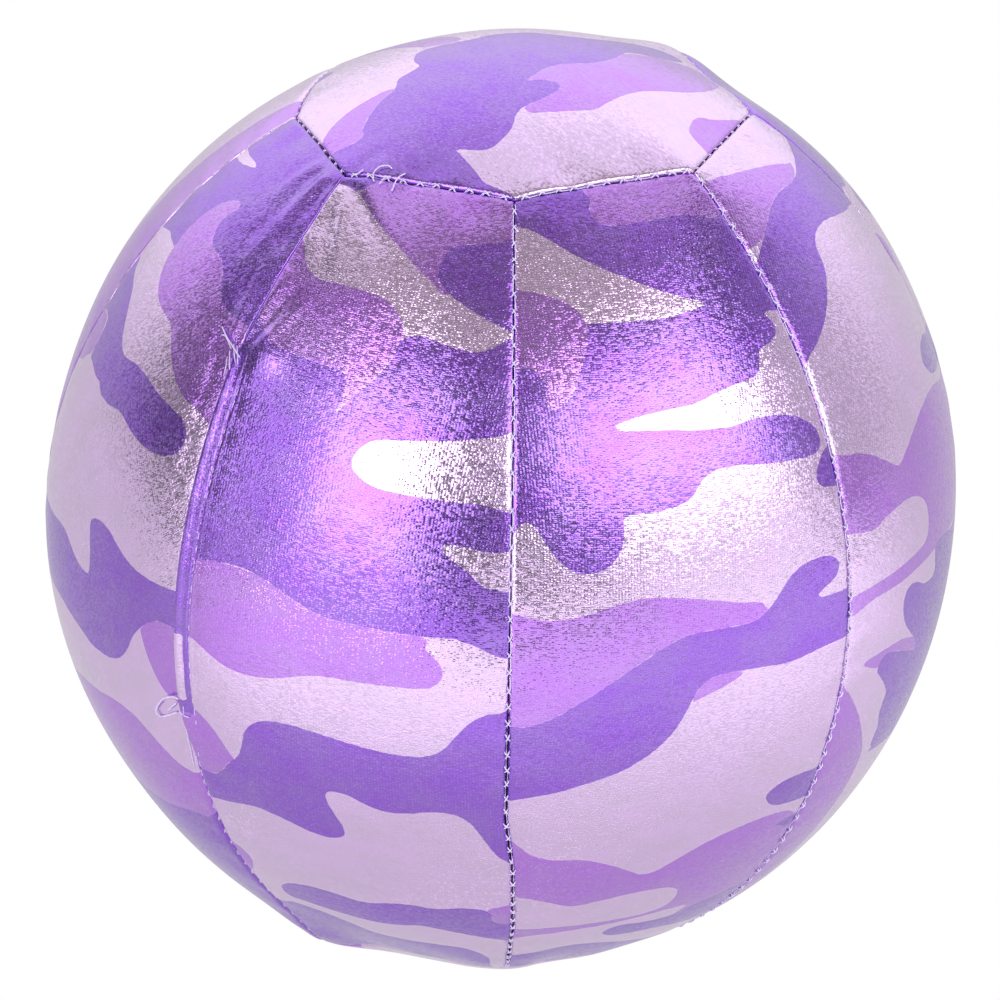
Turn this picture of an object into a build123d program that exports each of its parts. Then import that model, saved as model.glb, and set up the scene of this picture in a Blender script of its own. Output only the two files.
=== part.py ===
"""Cloth-covered inflatable play ball, 9 inch size.

Eight cloth gores and two eight-sided end panels are sewn into a cover. Along one seam the
cover is left open as a slit: a hemmed lip of the front-left gore closes over a strip of its
neighbour, and hides the bladder's needle valve. The pole axis is +Z, the ball stands on a
small flat at z = 0, and azimuth is counted from -Y (the front) towards +X.
"""

import os
from math import asin, atan2, cos, degrees, radians, sin, sqrt

from build123d import *

# Overall size, mm
EQUATOR_RADIUS = 114.5
POLE_RADIUS = 119.4  # half-length of the ball along its pole axis, before the flat
REST_FLAT_RADIUS = 26.0
FLAT_DEPTH = POLE_RADIUS * (1 - sqrt(1 - (REST_FLAT_RADIUS / EQUATOR_RADIUS) ** 2))
CENTRE_Z = POLE_RADIUS - FLAT_DEPTH
CENTRE = Vector(0, 0, CENTRE_Z)

# Cover
GORES = 8
GORE_ANGLE = 360 / GORES
CLOTH = 0.5
ALLOWANCE = 7.0  # width of the cloth turned in along every sewn edge
SEAM_GAP = 0.5
CORNER_RADIUS = 59.5  # distance of the end panels' corners from the pole axis
CORNER_HEIGHT = POLE_RADIUS * sqrt(1 - (CORNER_RADIUS / EQUATOR_RADIUS) ** 2)

# Sewing thread
THREAD_RADIUS = 0.18
THREAD_HEIGHT = -0.1  # of a seam thread's centre, from the cover's outer face
EDGE_SHARES = (0.01, 0.5, 0.99)  # start, middle and end of the thread along one edge of an end panel
TOPSTITCH_INSET = 3.0
CORNER_CLEAR = 0.8  # degrees of latitude between a seam thread and a corner

# Slit and its lip
SLIT_AZIMUTH = -45.0
SLIT_TOP = 34.5  # latitudes of the slit's two ends
SLIT_BOTTOM = -11.5
SLIT_MIDDLE = (SLIT_TOP + SLIT_BOTTOM) / 2
LIP_WIDTH = 24.0
LIP_GAP = 0.3
HEM_WIDTH = 8.0
UNDERLAP = 4.5
UNDERLAP_DEPTH = 1.25
BARTACK_LENGTH = 10.0
BARTACK_WIDTH = 1.3
BARTACK_HEIGHT = 0.45
BARTACK_SETBACK = 1.6  # degrees of latitude beyond each end of the slit
STRAND_SETBACK = 2.3  # the same, for the seam threads above and below the slit
SLIT_TAPER = 2.2  # the same, for the topstitch inside the slit's ends
LIP_REACH = 60.0  # height of the round cutter that shapes the lip

# Bladder and valve
BLADDER_DEPTH = 2.0
BLADDER_WALL = 0.5
VALVE_OFFSET = 9.5  # distance of the valve's axis from the slit's plane
BOOT_FLANGE_RADIUS = 11.0
BOOT_FLANGE = 1.0
BOOT_RADIUS = 6.0
BOOT_LENGTH = 17.0
INSERT_RADIUS = 3.5
INSERT_HEAD_RADIUS = 4.5
INSERT_HEAD = 1.0
INSERT_LENGTH = 14.0
NEEDLE_RADIUS = 1.05
NEEDLE_DEPTH = 8.0
FUNNEL_RADIUS = 1.9
FUNNEL_DEPTH = 0.9
BOND_GAP = 0.04

BIG = 400.0


def outward(azimuth):
    """Level unit vector that points away from the pole axis."""
    return Vector(sin(radians(azimuth)), -cos(radians(azimuth)), 0)


def surface_point(azimuth, latitude, height=0.0):
    """Point `height` above the cover, at a parametric latitude."""
    level = (EQUATOR_RADIUS + height) * cos(radians(latitude))
    rise = (POLE_RADIUS + height) * sin(radians(latitude))
    return CENTRE + outward(azimuth) * level + Vector(0, 0, rise)


def surface_normal(azimuth, latitude):
    """Unit normal of the cover at a parametric latitude."""
    level = cos(radians(latitude)) / EQUATOR_RADIUS
    rise = sin(radians(latitude)) / POLE_RADIUS
    return (outward(azimuth) * level + Vector(0, 0, rise)).normalized()


def half_space(origin, normal):
    """Large block on the side of a plane that `normal` points to."""
    return Plane(origin=origin, z_dir=normal) * Box(
        BIG, BIG, BIG, align=(Align.CENTER, Align.CENTER, Align.MIN)
    )


def ball(depth):
    """Solid ball whose skin lies `depth` below the cover's outer face."""
    level = EQUATOR_RADIUS - depth
    rise = POLE_RADIUS - depth
    arc = EllipticalCenterArc((0, 0), level, rise, start_angle=-90, arc_size=180)
    half = make_face([arc, Line((0, rise), (0, -rise))])
    solid = revolve(Plane.XZ * half, Axis.Z)
    return Pos(0, 0, CENTRE_Z) * solid & half_space((0, 0, depth), (0, 0, 1))


def side_space(azimuth, inset, towards):
    """Everything at least `inset` from a meridian plane, on its right (1) or left (-1)."""
    across = outward(azimuth + 90) * towards
    return half_space(CENTRE + across * inset, across)


def end_space(azimuth, inset, end, towards):
    """Everything beyond one edge plane of an end panel (1), or on the gores' side (-1)."""
    slope = atan2(CORNER_HEIGHT, CORNER_RADIUS * cos(radians(GORE_ANGLE / 2)))
    normal = outward(azimuth) * -sin(slope) + Vector(0, 0, end * cos(slope))
    return half_space(CENTRE + normal * (inset * towards), normal * towards)


def gore_space(azimuth, inset):
    """Wedge of one gore, its four edges moved in by `inset`."""
    wedge = side_space(azimuth - GORE_ANGLE / 2, inset, 1)
    wedge &= side_space(azimuth + GORE_ANGLE / 2, inset, -1)
    wedge &= end_space(azimuth, inset, 1, -1)
    return wedge & end_space(azimuth, inset, -1, -1)


def end_panel_space(end, inset):
    """Eight-sided pyramid of one end panel, its edges moved in by `inset`."""
    pyramid = half_space(CENTRE, (0, 0, end))
    for number in range(GORES):
        pyramid &= end_space((number + 0.5) * GORE_ANGLE, inset, end, 1)
    return pyramid


def turned_in(outer, inner):
    """Cloth panel: one layer over `outer`, with a second layer along its edges."""
    return (BALL & outer) - (BALL_INSIDE & inner) - BALL_HEM


def thread(path):
    """Round thread along a smooth curve."""
    return sweep(Plane(origin=path @ 0, z_dir=path % 0) * Circle(THREAD_RADIUS), path=path)


def seam_strand(azimuth, low, high):
    """Seam thread on one meridian, between two latitudes."""
    latitudes = (low, (low + high) / 2, high)
    return thread(ThreePointArc(*[surface_point(azimuth, lat, THREAD_HEIGHT) for lat in latitudes]))


def edge_point(azimuth, end, share):
    """Point of the thread along one edge of an end panel; share is 0 and 1 at its corners."""
    start = outward(azimuth - GORE_ANGLE / 2) * CORNER_RADIUS
    finish = outward(azimuth + GORE_ANGLE / 2) * CORNER_RADIUS
    line = start + (finish - start) * share + Vector(0, 0, end * CORNER_HEIGHT)
    level = sqrt(line.X**2 + line.Y**2)
    reach = sqrt((level / EQUATOR_RADIUS) ** 2 + (line.Z / POLE_RADIUS) ** 2)
    return CENTRE + line * (1 / reach) + line.normalized() * THREAD_HEIGHT


def end_panel_thread(end):
    """Thread around one end panel, tied off at every corner."""
    pieces = []
    for number in range(GORES):
        azimuth = (number + 0.5) * GORE_ANGLE
        first, middle, last = (edge_point(azimuth, end, share) for share in EDGE_SHARES)
        pieces.append(thread(ThreePointArc(first, middle, last)))
    return Compound(pieces)


def bartack(latitude):
    """Short bar of close stitches across the slit's seam, lying on the cloth."""
    normal = surface_normal(SLIT_AZIMUTH, latitude)
    middle = Plane(
        origin=surface_point(SLIT_AZIMUTH, latitude), x_dir=outward(SLIT_AZIMUTH + 90), z_dir=normal
    )
    block = middle * Box(BARTACK_LENGTH, BARTACK_WIDTH, 4 * BARTACK_HEIGHT)
    return (ball(-BARTACK_HEIGHT) & block) - ball(-BOND_GAP)


def slab(low, high):
    """Front layer of space whose distance from the slit's plane lies between two values."""
    layer = side_space(SLIT_AZIMUTH, low, 1) & side_space(SLIT_AZIMUTH, -high, -1)
    return layer & half_space(CENTRE, outward(SLIT_AZIMUTH))


def lip_line(share):
    """Point of the thread along the lip's hem, from its lower end to its upper one."""
    height = THREAD_RADIUS + BOND_GAP
    reach = sqrt(1 - (TOPSTITCH_INSET / EQUATOR_RADIUS) ** 2)
    latitude = SLIT_BOTTOM + SLIT_TAPER + (SLIT_TOP - SLIT_BOTTOM - 2 * SLIT_TAPER) * share
    level = (EQUATOR_RADIUS + height) * reach * cos(radians(latitude))
    rise = (POLE_RADIUS + height) * reach * sin(radians(latitude))
    return CENTRE + outward(SLIT_AZIMUTH) * level + ACROSS * TOPSTITCH_INSET + Vector(0, 0, rise)


BALL = ball(0)
BALL_INSIDE = ball(CLOTH)
BALL_HEM = ball(2 * CLOTH)
parts = {}

# Gores, numbered round the ball from the front-right one
plain_gore = turned_in(
    gore_space(GORE_ANGLE / 2, SEAM_GAP / 2),
    gore_space(GORE_ANGLE / 2, SEAM_GAP / 2 + ALLOWANCE),
)
for number in range(GORES):
    parts[f"gore_panel_{number + 1}"] = Rot(0, 0, number * GORE_ANGLE) * plain_gore

# End panels
for name, end in (("top_cap_panel", 1), ("bottom_cap_panel", -1)):
    parts[name] = turned_in(
        end_panel_space(end, SEAM_GAP / 2),
        end_panel_space(end, SEAM_GAP / 2 + ALLOWANCE),
    )

# Slit: its two ends, and a plane with x across it towards the lip and z outward
ACROSS = outward(SLIT_AZIMUTH + 90)
slit_low = surface_point(SLIT_AZIMUTH, SLIT_BOTTOM)
slit_high = surface_point(SLIT_AZIMUTH, SLIT_TOP)
chord = slit_high - slit_low
along = chord.normalized()
slit_plane = Plane(origin=(slit_low + slit_high) * 0.5, x_dir=ACROSS, z_dir=ACROSS.cross(along))

# Lip of the last gore, bounded by the slit and a round arc through the slit's ends
arc_radius = ((chord.length / 2) ** 2 + LIP_WIDTH**2) / (2 * LIP_WIDTH)
arc_middle = slit_plane * Pos(LIP_WIDTH - arc_radius, 0, 0)
lip_space = arc_middle * Cylinder(arc_radius, LIP_REACH) & slab(SEAM_GAP / 2, LIP_WIDTH)
parts["slit_lip"] = (BALL & lip_space) - (BALL_INSIDE & slab(HEM_WIDTH, LIP_WIDTH)) - BALL_HEM
parts["gore_panel_8"] -= arc_middle * Cylinder(arc_radius + LIP_GAP, LIP_REACH)

# Strip of the neighbouring gore that steps down and runs on under the lip
span = half_space(slit_low + along, along) & half_space(slit_high - along, -along)
step_down = (BALL_INSIDE - ball(UNDERLAP_DEPTH + CLOTH)) & slab(-SEAM_GAP / 2 - CLOTH, -SEAM_GAP / 2)
strip = (ball(UNDERLAP_DEPTH) - ball(UNDERLAP_DEPTH + CLOTH)) & slab(-SEAM_GAP / 2 - CLOTH, UNDERLAP)
parts["gore_panel_7"] += (step_down + strip) & span

# Sewing threads
strand_end = degrees(asin(CORNER_HEIGHT / POLE_RADIUS)) - CORNER_CLEAR
full_strand = seam_strand(0, -strand_end, strand_end)
for number in range(GORES - 1):
    parts[f"seam_thread_{number + 1}"] = Rot(0, 0, number * GORE_ANGLE) * full_strand
parts["seam_thread_8"] = Compound(
    [
        seam_strand(SLIT_AZIMUTH, -strand_end, SLIT_BOTTOM - STRAND_SETBACK),
        seam_strand(SLIT_AZIMUTH, SLIT_TOP + STRAND_SETBACK, strand_end),
    ]
)
parts["top_cap_thread"] = end_panel_thread(1)
parts["bottom_cap_thread"] = end_panel_thread(-1)
parts["upper_bartack"] = bartack(SLIT_TOP + BARTACK_SETBACK)
parts["lower_bartack"] = bartack(SLIT_BOTTOM - BARTACK_SETBACK)
parts["lip_topstitch"] = thread(ThreePointArc(*[lip_line(share) for share in (0, 0.5, 1)]))

# Valve axis: z = 0 on the bladder's outer face, +z outward
valve_swing = degrees(asin(VALVE_OFFSET / (EQUATOR_RADIUS * cos(radians(SLIT_MIDDLE)))))
valve_azimuth = SLIT_AZIMUTH + valve_swing
valve = Plane(
    origin=surface_point(valve_azimuth, SLIT_MIDDLE, -BLADDER_DEPTH),
    z_dir=surface_normal(valve_azimuth, SLIT_MIDDLE),
)


def valve_cylinder(radius, top, bottom):
    """Cylinder on the valve's axis, between two heights."""
    return valve * Pos(0, 0, bottom) * extrude(Circle(radius), top - bottom)


# Bladder with a hole for the valve boot
bladder_outer = ball(BLADDER_DEPTH)
bladder = bladder_outer - ball(BLADDER_DEPTH + BLADDER_WALL)
parts["bladder"] = bladder - valve_cylinder(BOOT_RADIUS + BOND_GAP, 5, -5)

# Boot: a flange bonded inside the bladder, and a neck that holds the insert
flange_depth = BLADDER_DEPTH + BLADDER_WALL + BOND_GAP
flange = ball(flange_depth) - ball(flange_depth + BOOT_FLANGE)
boot = flange & valve_cylinder(BOOT_FLANGE_RADIUS, 5, -5)
boot += bladder_outer & valve_cylinder(BOOT_RADIUS, 5, -BOOT_LENGTH)
boot -= valve_cylinder(INSERT_HEAD_RADIUS + BOND_GAP, 5, -INSERT_HEAD - BOND_GAP)
parts["valve_boot"] = boot - valve_cylinder(INSERT_RADIUS + BOND_GAP, 5, -BOOT_LENGTH - 1)

# Self-sealing insert: the needle's pilot hole ends in solid rubber
insert = valve_cylinder(INSERT_HEAD_RADIUS, 0, -INSERT_HEAD)
insert += valve_cylinder(INSERT_RADIUS, -INSERT_HEAD, -INSERT_LENGTH)
insert -= valve_cylinder(NEEDLE_RADIUS, 1, -NEEDLE_DEPTH)
funnel = Cone(NEEDLE_RADIUS, FUNNEL_RADIUS, FUNNEL_DEPTH, align=(Align.CENTER, Align.CENTER, Align.MAX))
parts["valve_insert"] = insert - valve * funnel

os.makedirs("parts", exist_ok=True)
for name, solid in parts.items():
    export_step(solid, f"parts/{name}.step")
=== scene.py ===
"""Looks of the cloth-covered play ball: printed foil cloth, seams, hem, stitches, studio.

Lengths are in millimetres until mesh_piece() turns them into metres. Azimuth is counted from
the front (-Y) towards +X, and latitude is the parametric latitude of the ball's ellipsoid.
"""

import math

import bmesh
import bpy
import numpy as np
from mathutils import Matrix, Vector


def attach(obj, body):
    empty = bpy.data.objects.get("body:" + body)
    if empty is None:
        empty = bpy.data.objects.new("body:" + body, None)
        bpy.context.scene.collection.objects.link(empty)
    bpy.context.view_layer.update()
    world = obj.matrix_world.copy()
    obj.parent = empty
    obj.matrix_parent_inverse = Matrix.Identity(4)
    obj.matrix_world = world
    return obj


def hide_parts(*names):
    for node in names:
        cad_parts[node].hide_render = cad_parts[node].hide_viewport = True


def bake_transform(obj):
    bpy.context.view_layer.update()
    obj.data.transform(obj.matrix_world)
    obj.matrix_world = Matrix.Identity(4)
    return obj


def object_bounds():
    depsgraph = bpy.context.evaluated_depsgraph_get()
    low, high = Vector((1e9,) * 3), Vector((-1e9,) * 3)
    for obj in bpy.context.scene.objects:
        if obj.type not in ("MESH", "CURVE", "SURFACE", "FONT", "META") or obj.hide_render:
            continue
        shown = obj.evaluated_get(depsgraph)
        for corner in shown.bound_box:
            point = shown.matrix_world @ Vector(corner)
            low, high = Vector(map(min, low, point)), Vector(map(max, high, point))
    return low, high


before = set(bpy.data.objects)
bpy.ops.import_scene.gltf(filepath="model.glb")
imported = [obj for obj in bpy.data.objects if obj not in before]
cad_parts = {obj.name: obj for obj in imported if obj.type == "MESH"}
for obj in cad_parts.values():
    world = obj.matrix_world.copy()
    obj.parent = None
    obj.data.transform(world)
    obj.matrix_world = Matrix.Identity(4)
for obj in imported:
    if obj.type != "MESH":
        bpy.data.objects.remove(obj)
CAD_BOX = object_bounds()

MM = 0.001

# The ball, read from the frame
TOP_Z = CAD_BOX[1].z / MM
EQUATOR = 114.5
POLE = 119.4
CENTRE = np.array([0.0, 0.0, TOP_Z - POLE])

# Cover
GORES = 8
GORE_ANGLE = 360 / GORES
CLOTH = 0.4
TOP_CORNER = 59.2  # latitudes of the end panels' corners
BOTTOM_CORNER = -57.2
CORNER_RISE = {6: 2.7}  # degrees that the top corner on a seam sits higher
PITCH = 1.25  # spacing of a panel's mesh lines
FINE_PITCH, CREASED = 0.85, (7, 8)  # and that of the gores with sharp creases
GAP, TIGHT_GAP = 0.2, 0.05  # half the width of the crevice in a seam
MM_PER_DEGREE = 2.04  # along a meridian

# Slit
SLIT_TOP = 34.5  # latitude of the slit's upper end
HEM_FULL_TOP = 34.0  # between these two latitudes the hem stands out fully
HEM_FULL_BOTTOM = -10.0
HEM_FADE_TOP = 38.0  # and beyond these two it is gone
HEM_FADE_BOTTOM = -20.7

# Stitching
STITCH = 4.4
THREAD = 0.18

# Seam positions that differ from an even 45 degrees: (latitude, degrees of drift)
SEAM_DRIFT = {
    0: [(-40, 0.3), (-27, -0.3), (-18, -1.5), (60, -1.4)],
    1: [(-15, -0.5), (5, 0.0), (35, 0.6)],
    6: [(0, 0.0), (28, 4.8), (60, 5.2)],
    7: [(-60, 0.0), (-21, -0.1), (-9, -0.4), (34, 0.0)],
}


# ---------------------------------------------------------------- shape of the ball


def smooth(value, low, high):
    """0 at low, 1 at high, smooth in between."""
    t = np.clip((np.asarray(value, float) - low) / (high - low), 0, 1)
    return t * t * (3 - 2 * t)


def ellipsoid(azimuth, latitude):
    """Points of the plain ellipsoid."""
    a, l = np.radians(azimuth), np.radians(latitude)
    level = EQUATOR * np.cos(l)
    return CENTRE + np.stack([level * np.sin(a), -level * np.cos(a), POLE * np.sin(l)], -1)


def ellipsoid_normal(points):
    """Outward unit normals of the ellipsoid through the given points."""
    normal = (points - CENTRE) / np.array([EQUATOR**2, EQUATOR**2, POLE**2])
    return normal / np.linalg.norm(normal, axis=-1, keepdims=True)


def seam_azimuth(number, latitude):
    """Azimuth of seam `number` (0 is the front one) at a latitude."""
    turn = number % GORES
    knots = SEAM_DRIFT.get(turn, [(0, 0.0)])
    drift = np.interp(latitude, [k[0] for k in knots], [k[1] for k in knots])
    return number * GORE_ANGLE + drift


def corner_latitude(number, end):
    """Latitude of the end panel's corner on seam `number`."""
    if end < 0:
        return BOTTOM_CORNER
    return TOP_CORNER + CORNER_RISE.get(number % GORES, 0.0)


def end_latitude(number, end, azimuth):
    """Latitude of an end panel's straight edge over gore `number`, at the given azimuths."""
    corners = [corner_latitude(number + side, end) for side in (0, 1)]
    left, right = (math.radians(seam_azimuth(number + side, corners[side])) for side in (0, 1))
    rises = [math.tan(math.radians(corner)) for corner in corners]
    a = np.radians(azimuth)
    slope = rises[0] * np.sin(right - a) + rises[1] * np.sin(a - left)
    return np.degrees(np.arctan(slope / math.sin(right - left)))


# Broad swells of the ball: (azimuth, latitude, height, sharpness)
SWELLS = [
    (112, 40, 1.6, 5),
    (-104, 50, -1.6, 6),
    (-95, -20, 1.3, 6),
    (72, -42, -2.3, 6),
]
# Corners that stand out: (azimuth, latitude, height, radius)
CORNERS = [(45 * turn, TOP_CORNER, 1.2, 15) for turn in range(GORES)]
CORNERS += [(45 * turn, BOTTOM_CORNER, 1.3, 15) for turn in range(GORES)]
CORNERS += [(135, TOP_CORNER, 2.0, 14), (-45, BOTTOM_CORNER, 1.5, 12), (-45, TOP_CORNER, 0.8, 8)]
CORNERS += [(-40.9, 34.6, 1.4, 6.0)]  # beside the upper bar tack
# Flats between those corners
FLATS = [(45 * turn + 22.5, TOP_CORNER + 2, -0.5, 15) for turn in range(GORES)]
FLATS += [(45 * turn + 22.5, BOTTOM_CORNER - 1, -1.0, 15) for turn in range(GORES)]
FLATS += [(turn, BOTTOM_CORNER, height, radius)
          for turn, height, radius in ((-28, -1.8, 13), (20, -1.2, 14), (45, -1.8, 13))]
# Creases: (start, end, height, half-width), each end an (azimuth, latitude)
CREASES = [
    ((-43.4, 57.5), (-36.5, 44.5), -0.7, 1.9),
    ((-42.4, 57.0), (-33.0, 46.0), 0.6, 1.9),
    ((-40.5, 58.0), (-26.0, 50.0), -0.7, 1.9),
    ((-38.5, 58.8), (-21.0, 50.0), 0.7, 2.1),
    ((-47.3, 57.0), (-50.0, 40.0), -0.6, 1.7),
    ((-50.0, 57.5), (-53.5, 43.0), 0.55, 1.8),
    ((-53.0, 58.0), (-57.0, 45.0), -0.45, 1.9),
    ((-27.5, 59.8), (-22.5, 54.5), -0.6, 2.2),
    ((-16.5, 60.5), (-7.0, 54.0), -0.5, 2.6),
    ((-56.0, 59.0), (-60.0, 52.0), 0.6, 2.2),
    ((-66.0, 60.0), (-69.0, 53.0), -0.5, 2.4),
    ((-45.0, 36.5), (-42.0, 49.0), 0.5, 1.6),
    ((-43.0, 36.5), (-38.5, 47.0), -0.5, 1.6),
    ((-41.0, 37.0), (-35.5, 44.0), 0.4, 1.6),
    ((-47.5, 36.0), (-49.5, 48.0), 0.5, 1.6),
    ((-50.0, 34.0), (-53.0, 45.0), -0.4, 1.8),
    ((-48.6, 33.0), (-48.0, 14.0), -0.3, 1.6),
    ((-10.0, 62.5), (-12.0, 67.0), -0.4, 3.0),
    ((-26.0, 62.5), (-24.0, 66.0), -0.4, 3.0),
    ((13.0, 62.5), (15.0, 68.0), -0.4, 3.4),
    ((33.0, 61.5), (35.0, 66.0), -0.35, 3.4),
    ((44.0, 60.0), (46.0, 69.0), 0.5, 3.0),
    ((-44.0, 60.0), (-40.0, 66.0), -0.5, 3.0),
]
LOWEST, LOWEST_SHARPNESS = -0.9, 4.0  # mm under the plain ellipsoid, and how sharply it ends there
RIPPLE, RIPPLE_LENGTH, RIPPLE_SEED = 0.35, 60, 3  # gentle unevenness all over
GROUND_SOFTNESS = 0.5  # mm, of the bend where the cover meets the ground
WAVE_SPREAD = (0.6, 1.3)  # of the ripples' frequencies, least and most
CREASE_FADE = 0.7  # under 1, a crease keeps its height for longer


def waves(points, length, seed, count=14):
    """Gentle random relief, about -1 to 1, with bumps `length` across."""
    rng = np.random.default_rng(seed)
    total = np.zeros(points.shape[:-1])
    for _ in range(count):
        direction = rng.normal(size=3)
        direction *= 2 * math.pi / length / np.linalg.norm(direction) * rng.uniform(*WAVE_SPREAD)
        total += np.sin(points @ direction + rng.uniform(0, 2 * math.pi))
    return total / math.sqrt(count)


def bump_at(points, azimuth, latitude, height, radius):
    """Round bump of a given height and radius on the cover."""
    centre = ellipsoid(azimuth, latitude)
    return height * np.exp(-((points - centre) ** 2).sum(-1) / radius**2)


def crease(points, start, end, height, width):
    """Fold along a line that starts at full height and fades to its end."""
    first, last = ellipsoid(*start), ellipsoid(*end)
    line = last - first
    share = np.clip(((points - first) @ line) / (line @ line), 0, 1)
    away = ((points - first - share[..., None] * line) ** 2).sum(-1)
    return height * np.exp(-away / width**2) * (1 - share) ** CREASE_FADE


def relief(azimuth, latitude):
    """Height of the real cover over the plain ellipsoid."""
    points = ellipsoid(azimuth, latitude)
    total = RIPPLE * waves(points, RIPPLE_LENGTH, RIPPLE_SEED)
    for bulge_azimuth, bulge_latitude, height, sharpness in SWELLS:
        towards = ellipsoid(bulge_azimuth, bulge_latitude) - CENTRE
        towards /= np.linalg.norm(towards)
        facing = ((points - CENTRE) @ towards) / EQUATOR
        total += height * np.exp(sharpness * (facing - 1))
    for spot in CORNERS + FLATS:
        total += bump_at(points, *spot)
    for fold in CREASES:
        total += crease(points, *fold)
    # The bladder holds the cloth out
    return LOWEST + np.logaddexp(0, (total - LOWEST) * LOWEST_SHARPNESS) / LOWEST_SHARPNESS


def cover(azimuth, latitude, height=0.0):
    """Points at a height over the real cover, which flattens where it rests on the ground."""
    azimuth, latitude = np.broadcast_arrays(np.asarray(azimuth, float), np.asarray(latitude, float))
    points = ellipsoid(azimuth, latitude)
    up = ellipsoid_normal(points)
    points = points + up * (relief(azimuth, latitude) + height)[..., None]
    ground = np.maximum(-np.broadcast_to(height, latitude.shape), 0)
    over = points[..., 2] - ground
    points[..., 2] = ground + (over + np.sqrt(over**2 + GROUND_SOFTNESS**2)) / 2
    return points


# ---------------------------------------------------------------- meshes


def mesh_piece(name, points, faces, material, smooth_faces=True):
    """Mesh object from points in millimetres."""
    mesh = bpy.data.meshes.new(name)
    mesh.from_pydata((np.asarray(points) * MM).tolist(), [], [tuple(f) for f in faces])
    mesh.validate()
    mesh.materials.append(material)
    mesh.polygons.foreach_set("use_smooth", [smooth_faces] * len(mesh.polygons))
    piece = bpy.data.objects.new(name, mesh)
    bpy.context.scene.collection.objects.link(piece)
    return piece


def grid_faces(rows, columns, offset=0, wrap=False, flip=False):
    """Quads of a grid of points, row by row."""
    r = np.arange(rows - 1)[:, None]
    c = np.arange(columns if wrap else columns - 1)[None, :]
    nxt = (c + 1) % columns
    quads = [r * columns + c, r * columns + nxt, (r + 1) * columns + nxt, (r + 1) * columns + c]
    quads = np.stack(np.broadcast_arrays(*quads), -1).reshape(-1, 4) + offset
    return quads[:, ::-1] if flip else quads


def grid_normals(points, wrap=False):
    """Unit normals of a grid, pointing out of the ball."""
    rise = np.gradient(points, axis=0)
    if wrap:
        across = (np.roll(points, -1, 1) - np.roll(points, 1, 1)) / 2
    else:
        across = np.gradient(points, axis=1)
    normal = np.cross(across, rise)
    size = np.linalg.norm(normal, axis=-1, keepdims=True)
    return np.where(size > 1e-6, normal / np.maximum(size, 1e-6), ellipsoid_normal(points))


def set_attribute(piece, name, values, kind="FLOAT"):
    """Stores one value or vector for each point of a mesh."""
    attribute = piece.data.attributes.new(name, kind, "POINT")
    field = "vector" if kind == "FLOAT_VECTOR" else "value"
    attribute.data.foreach_set(field, np.asarray(values, np.float32).ravel())


def rim_faces(edge, following, count, flip):
    """Faces that join the two layers of a panel along one of its edges."""
    rim = np.stack([edge, edge + count, following + count, following], -1)
    return rim[:, ::-1] if flip else rim


def cloth_shell(name, outer, knit, fields, material, wrap=False):
    """Closed two-layer cloth panel from the grid of its outer face.

    knit holds the loop that each point lies on, and fields the two print fields.
    """
    rows, columns = outer.shape[:2]
    normals = grid_normals(outer, wrap)
    if wrap:
        normals[-1] = normals[-2].mean(axis=0)
    inner = outer - normals * CLOTH
    count = rows * columns
    faces = [grid_faces(rows, columns, 0, wrap), grid_faces(rows, columns, count, wrap, True)]
    first_row = np.arange(columns)
    steps = columns if wrap else columns - 1
    following = np.roll(first_row, -1)[:steps]
    for row, flip in ((first_row, False), (first_row + (rows - 1) * columns, True)):
        faces.append(rim_faces(row[:steps], row[following], count, flip))
    if not wrap:
        first_column = np.arange(rows) * columns
        for column, flip in ((first_column, True), (first_column + columns - 1, False)):
            faces.append(rim_faces(column[:-1], column[1:], count, flip))
    points = np.concatenate([outer.reshape(-1, 3), inner.reshape(-1, 3)])
    piece = mesh_piece(name, points, np.concatenate(faces), material)
    set_attribute(piece, "knit", np.tile(knit.reshape(-1, 3), (2, 1)), "FLOAT_VECTOR")
    for tone, values in fields.items():
        set_attribute(piece, tone, np.tile(values.ravel(), 2))
    inside = np.concatenate([np.zeros(count), np.ones(count)])
    set_attribute(piece, "inside", inside)
    return piece


def tube(path, radius, sides=6, taper=0.35):
    """Points and faces of a closed round thread along a path; its ends narrow."""
    path = np.asarray(path, float)
    along = np.gradient(path, axis=0)
    along /= np.linalg.norm(along, axis=1, keepdims=True)
    up = path.mean(0) - CENTRE
    side = np.cross(along, up)
    side /= np.linalg.norm(side, axis=1, keepdims=True)
    other = np.cross(side, along)
    angles = np.linspace(0, 2 * math.pi, sides, endpoint=False)
    radii = np.full(len(path), float(radius))
    radii[0] = radii[-1] = radius * taper
    ring = side[:, None] * np.cos(angles)[None, :, None] + other[:, None] * np.sin(angles)[None, :, None]
    points = path[:, None] + ring * radii[:, None, None]
    faces = [tuple(q) for q in grid_faces(len(path), sides, 0, True)]
    faces.append(tuple(range(sides)))
    faces.append(tuple(range(len(path) * sides - 1, (len(path) - 1) * sides - 1, -1)))
    return points.reshape(-1, 3), faces


def join(parts):
    """Points and faces of several parts as one."""
    points, faces, count = [], [], 0
    for part_points, part_faces in parts:
        points.append(part_points)
        faces += [tuple(int(i) + count for i in face) for face in part_faces]
        count += len(part_points)
    return np.concatenate(points), faces


# ---------------------------------------------------------------- print

SILVER, LILAC, PURPLE = "silver", "lilac", "purple"
FAR = 3.0  # print fields stop at this distance from an edge
SMOOTH_STEPS = 4

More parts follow.
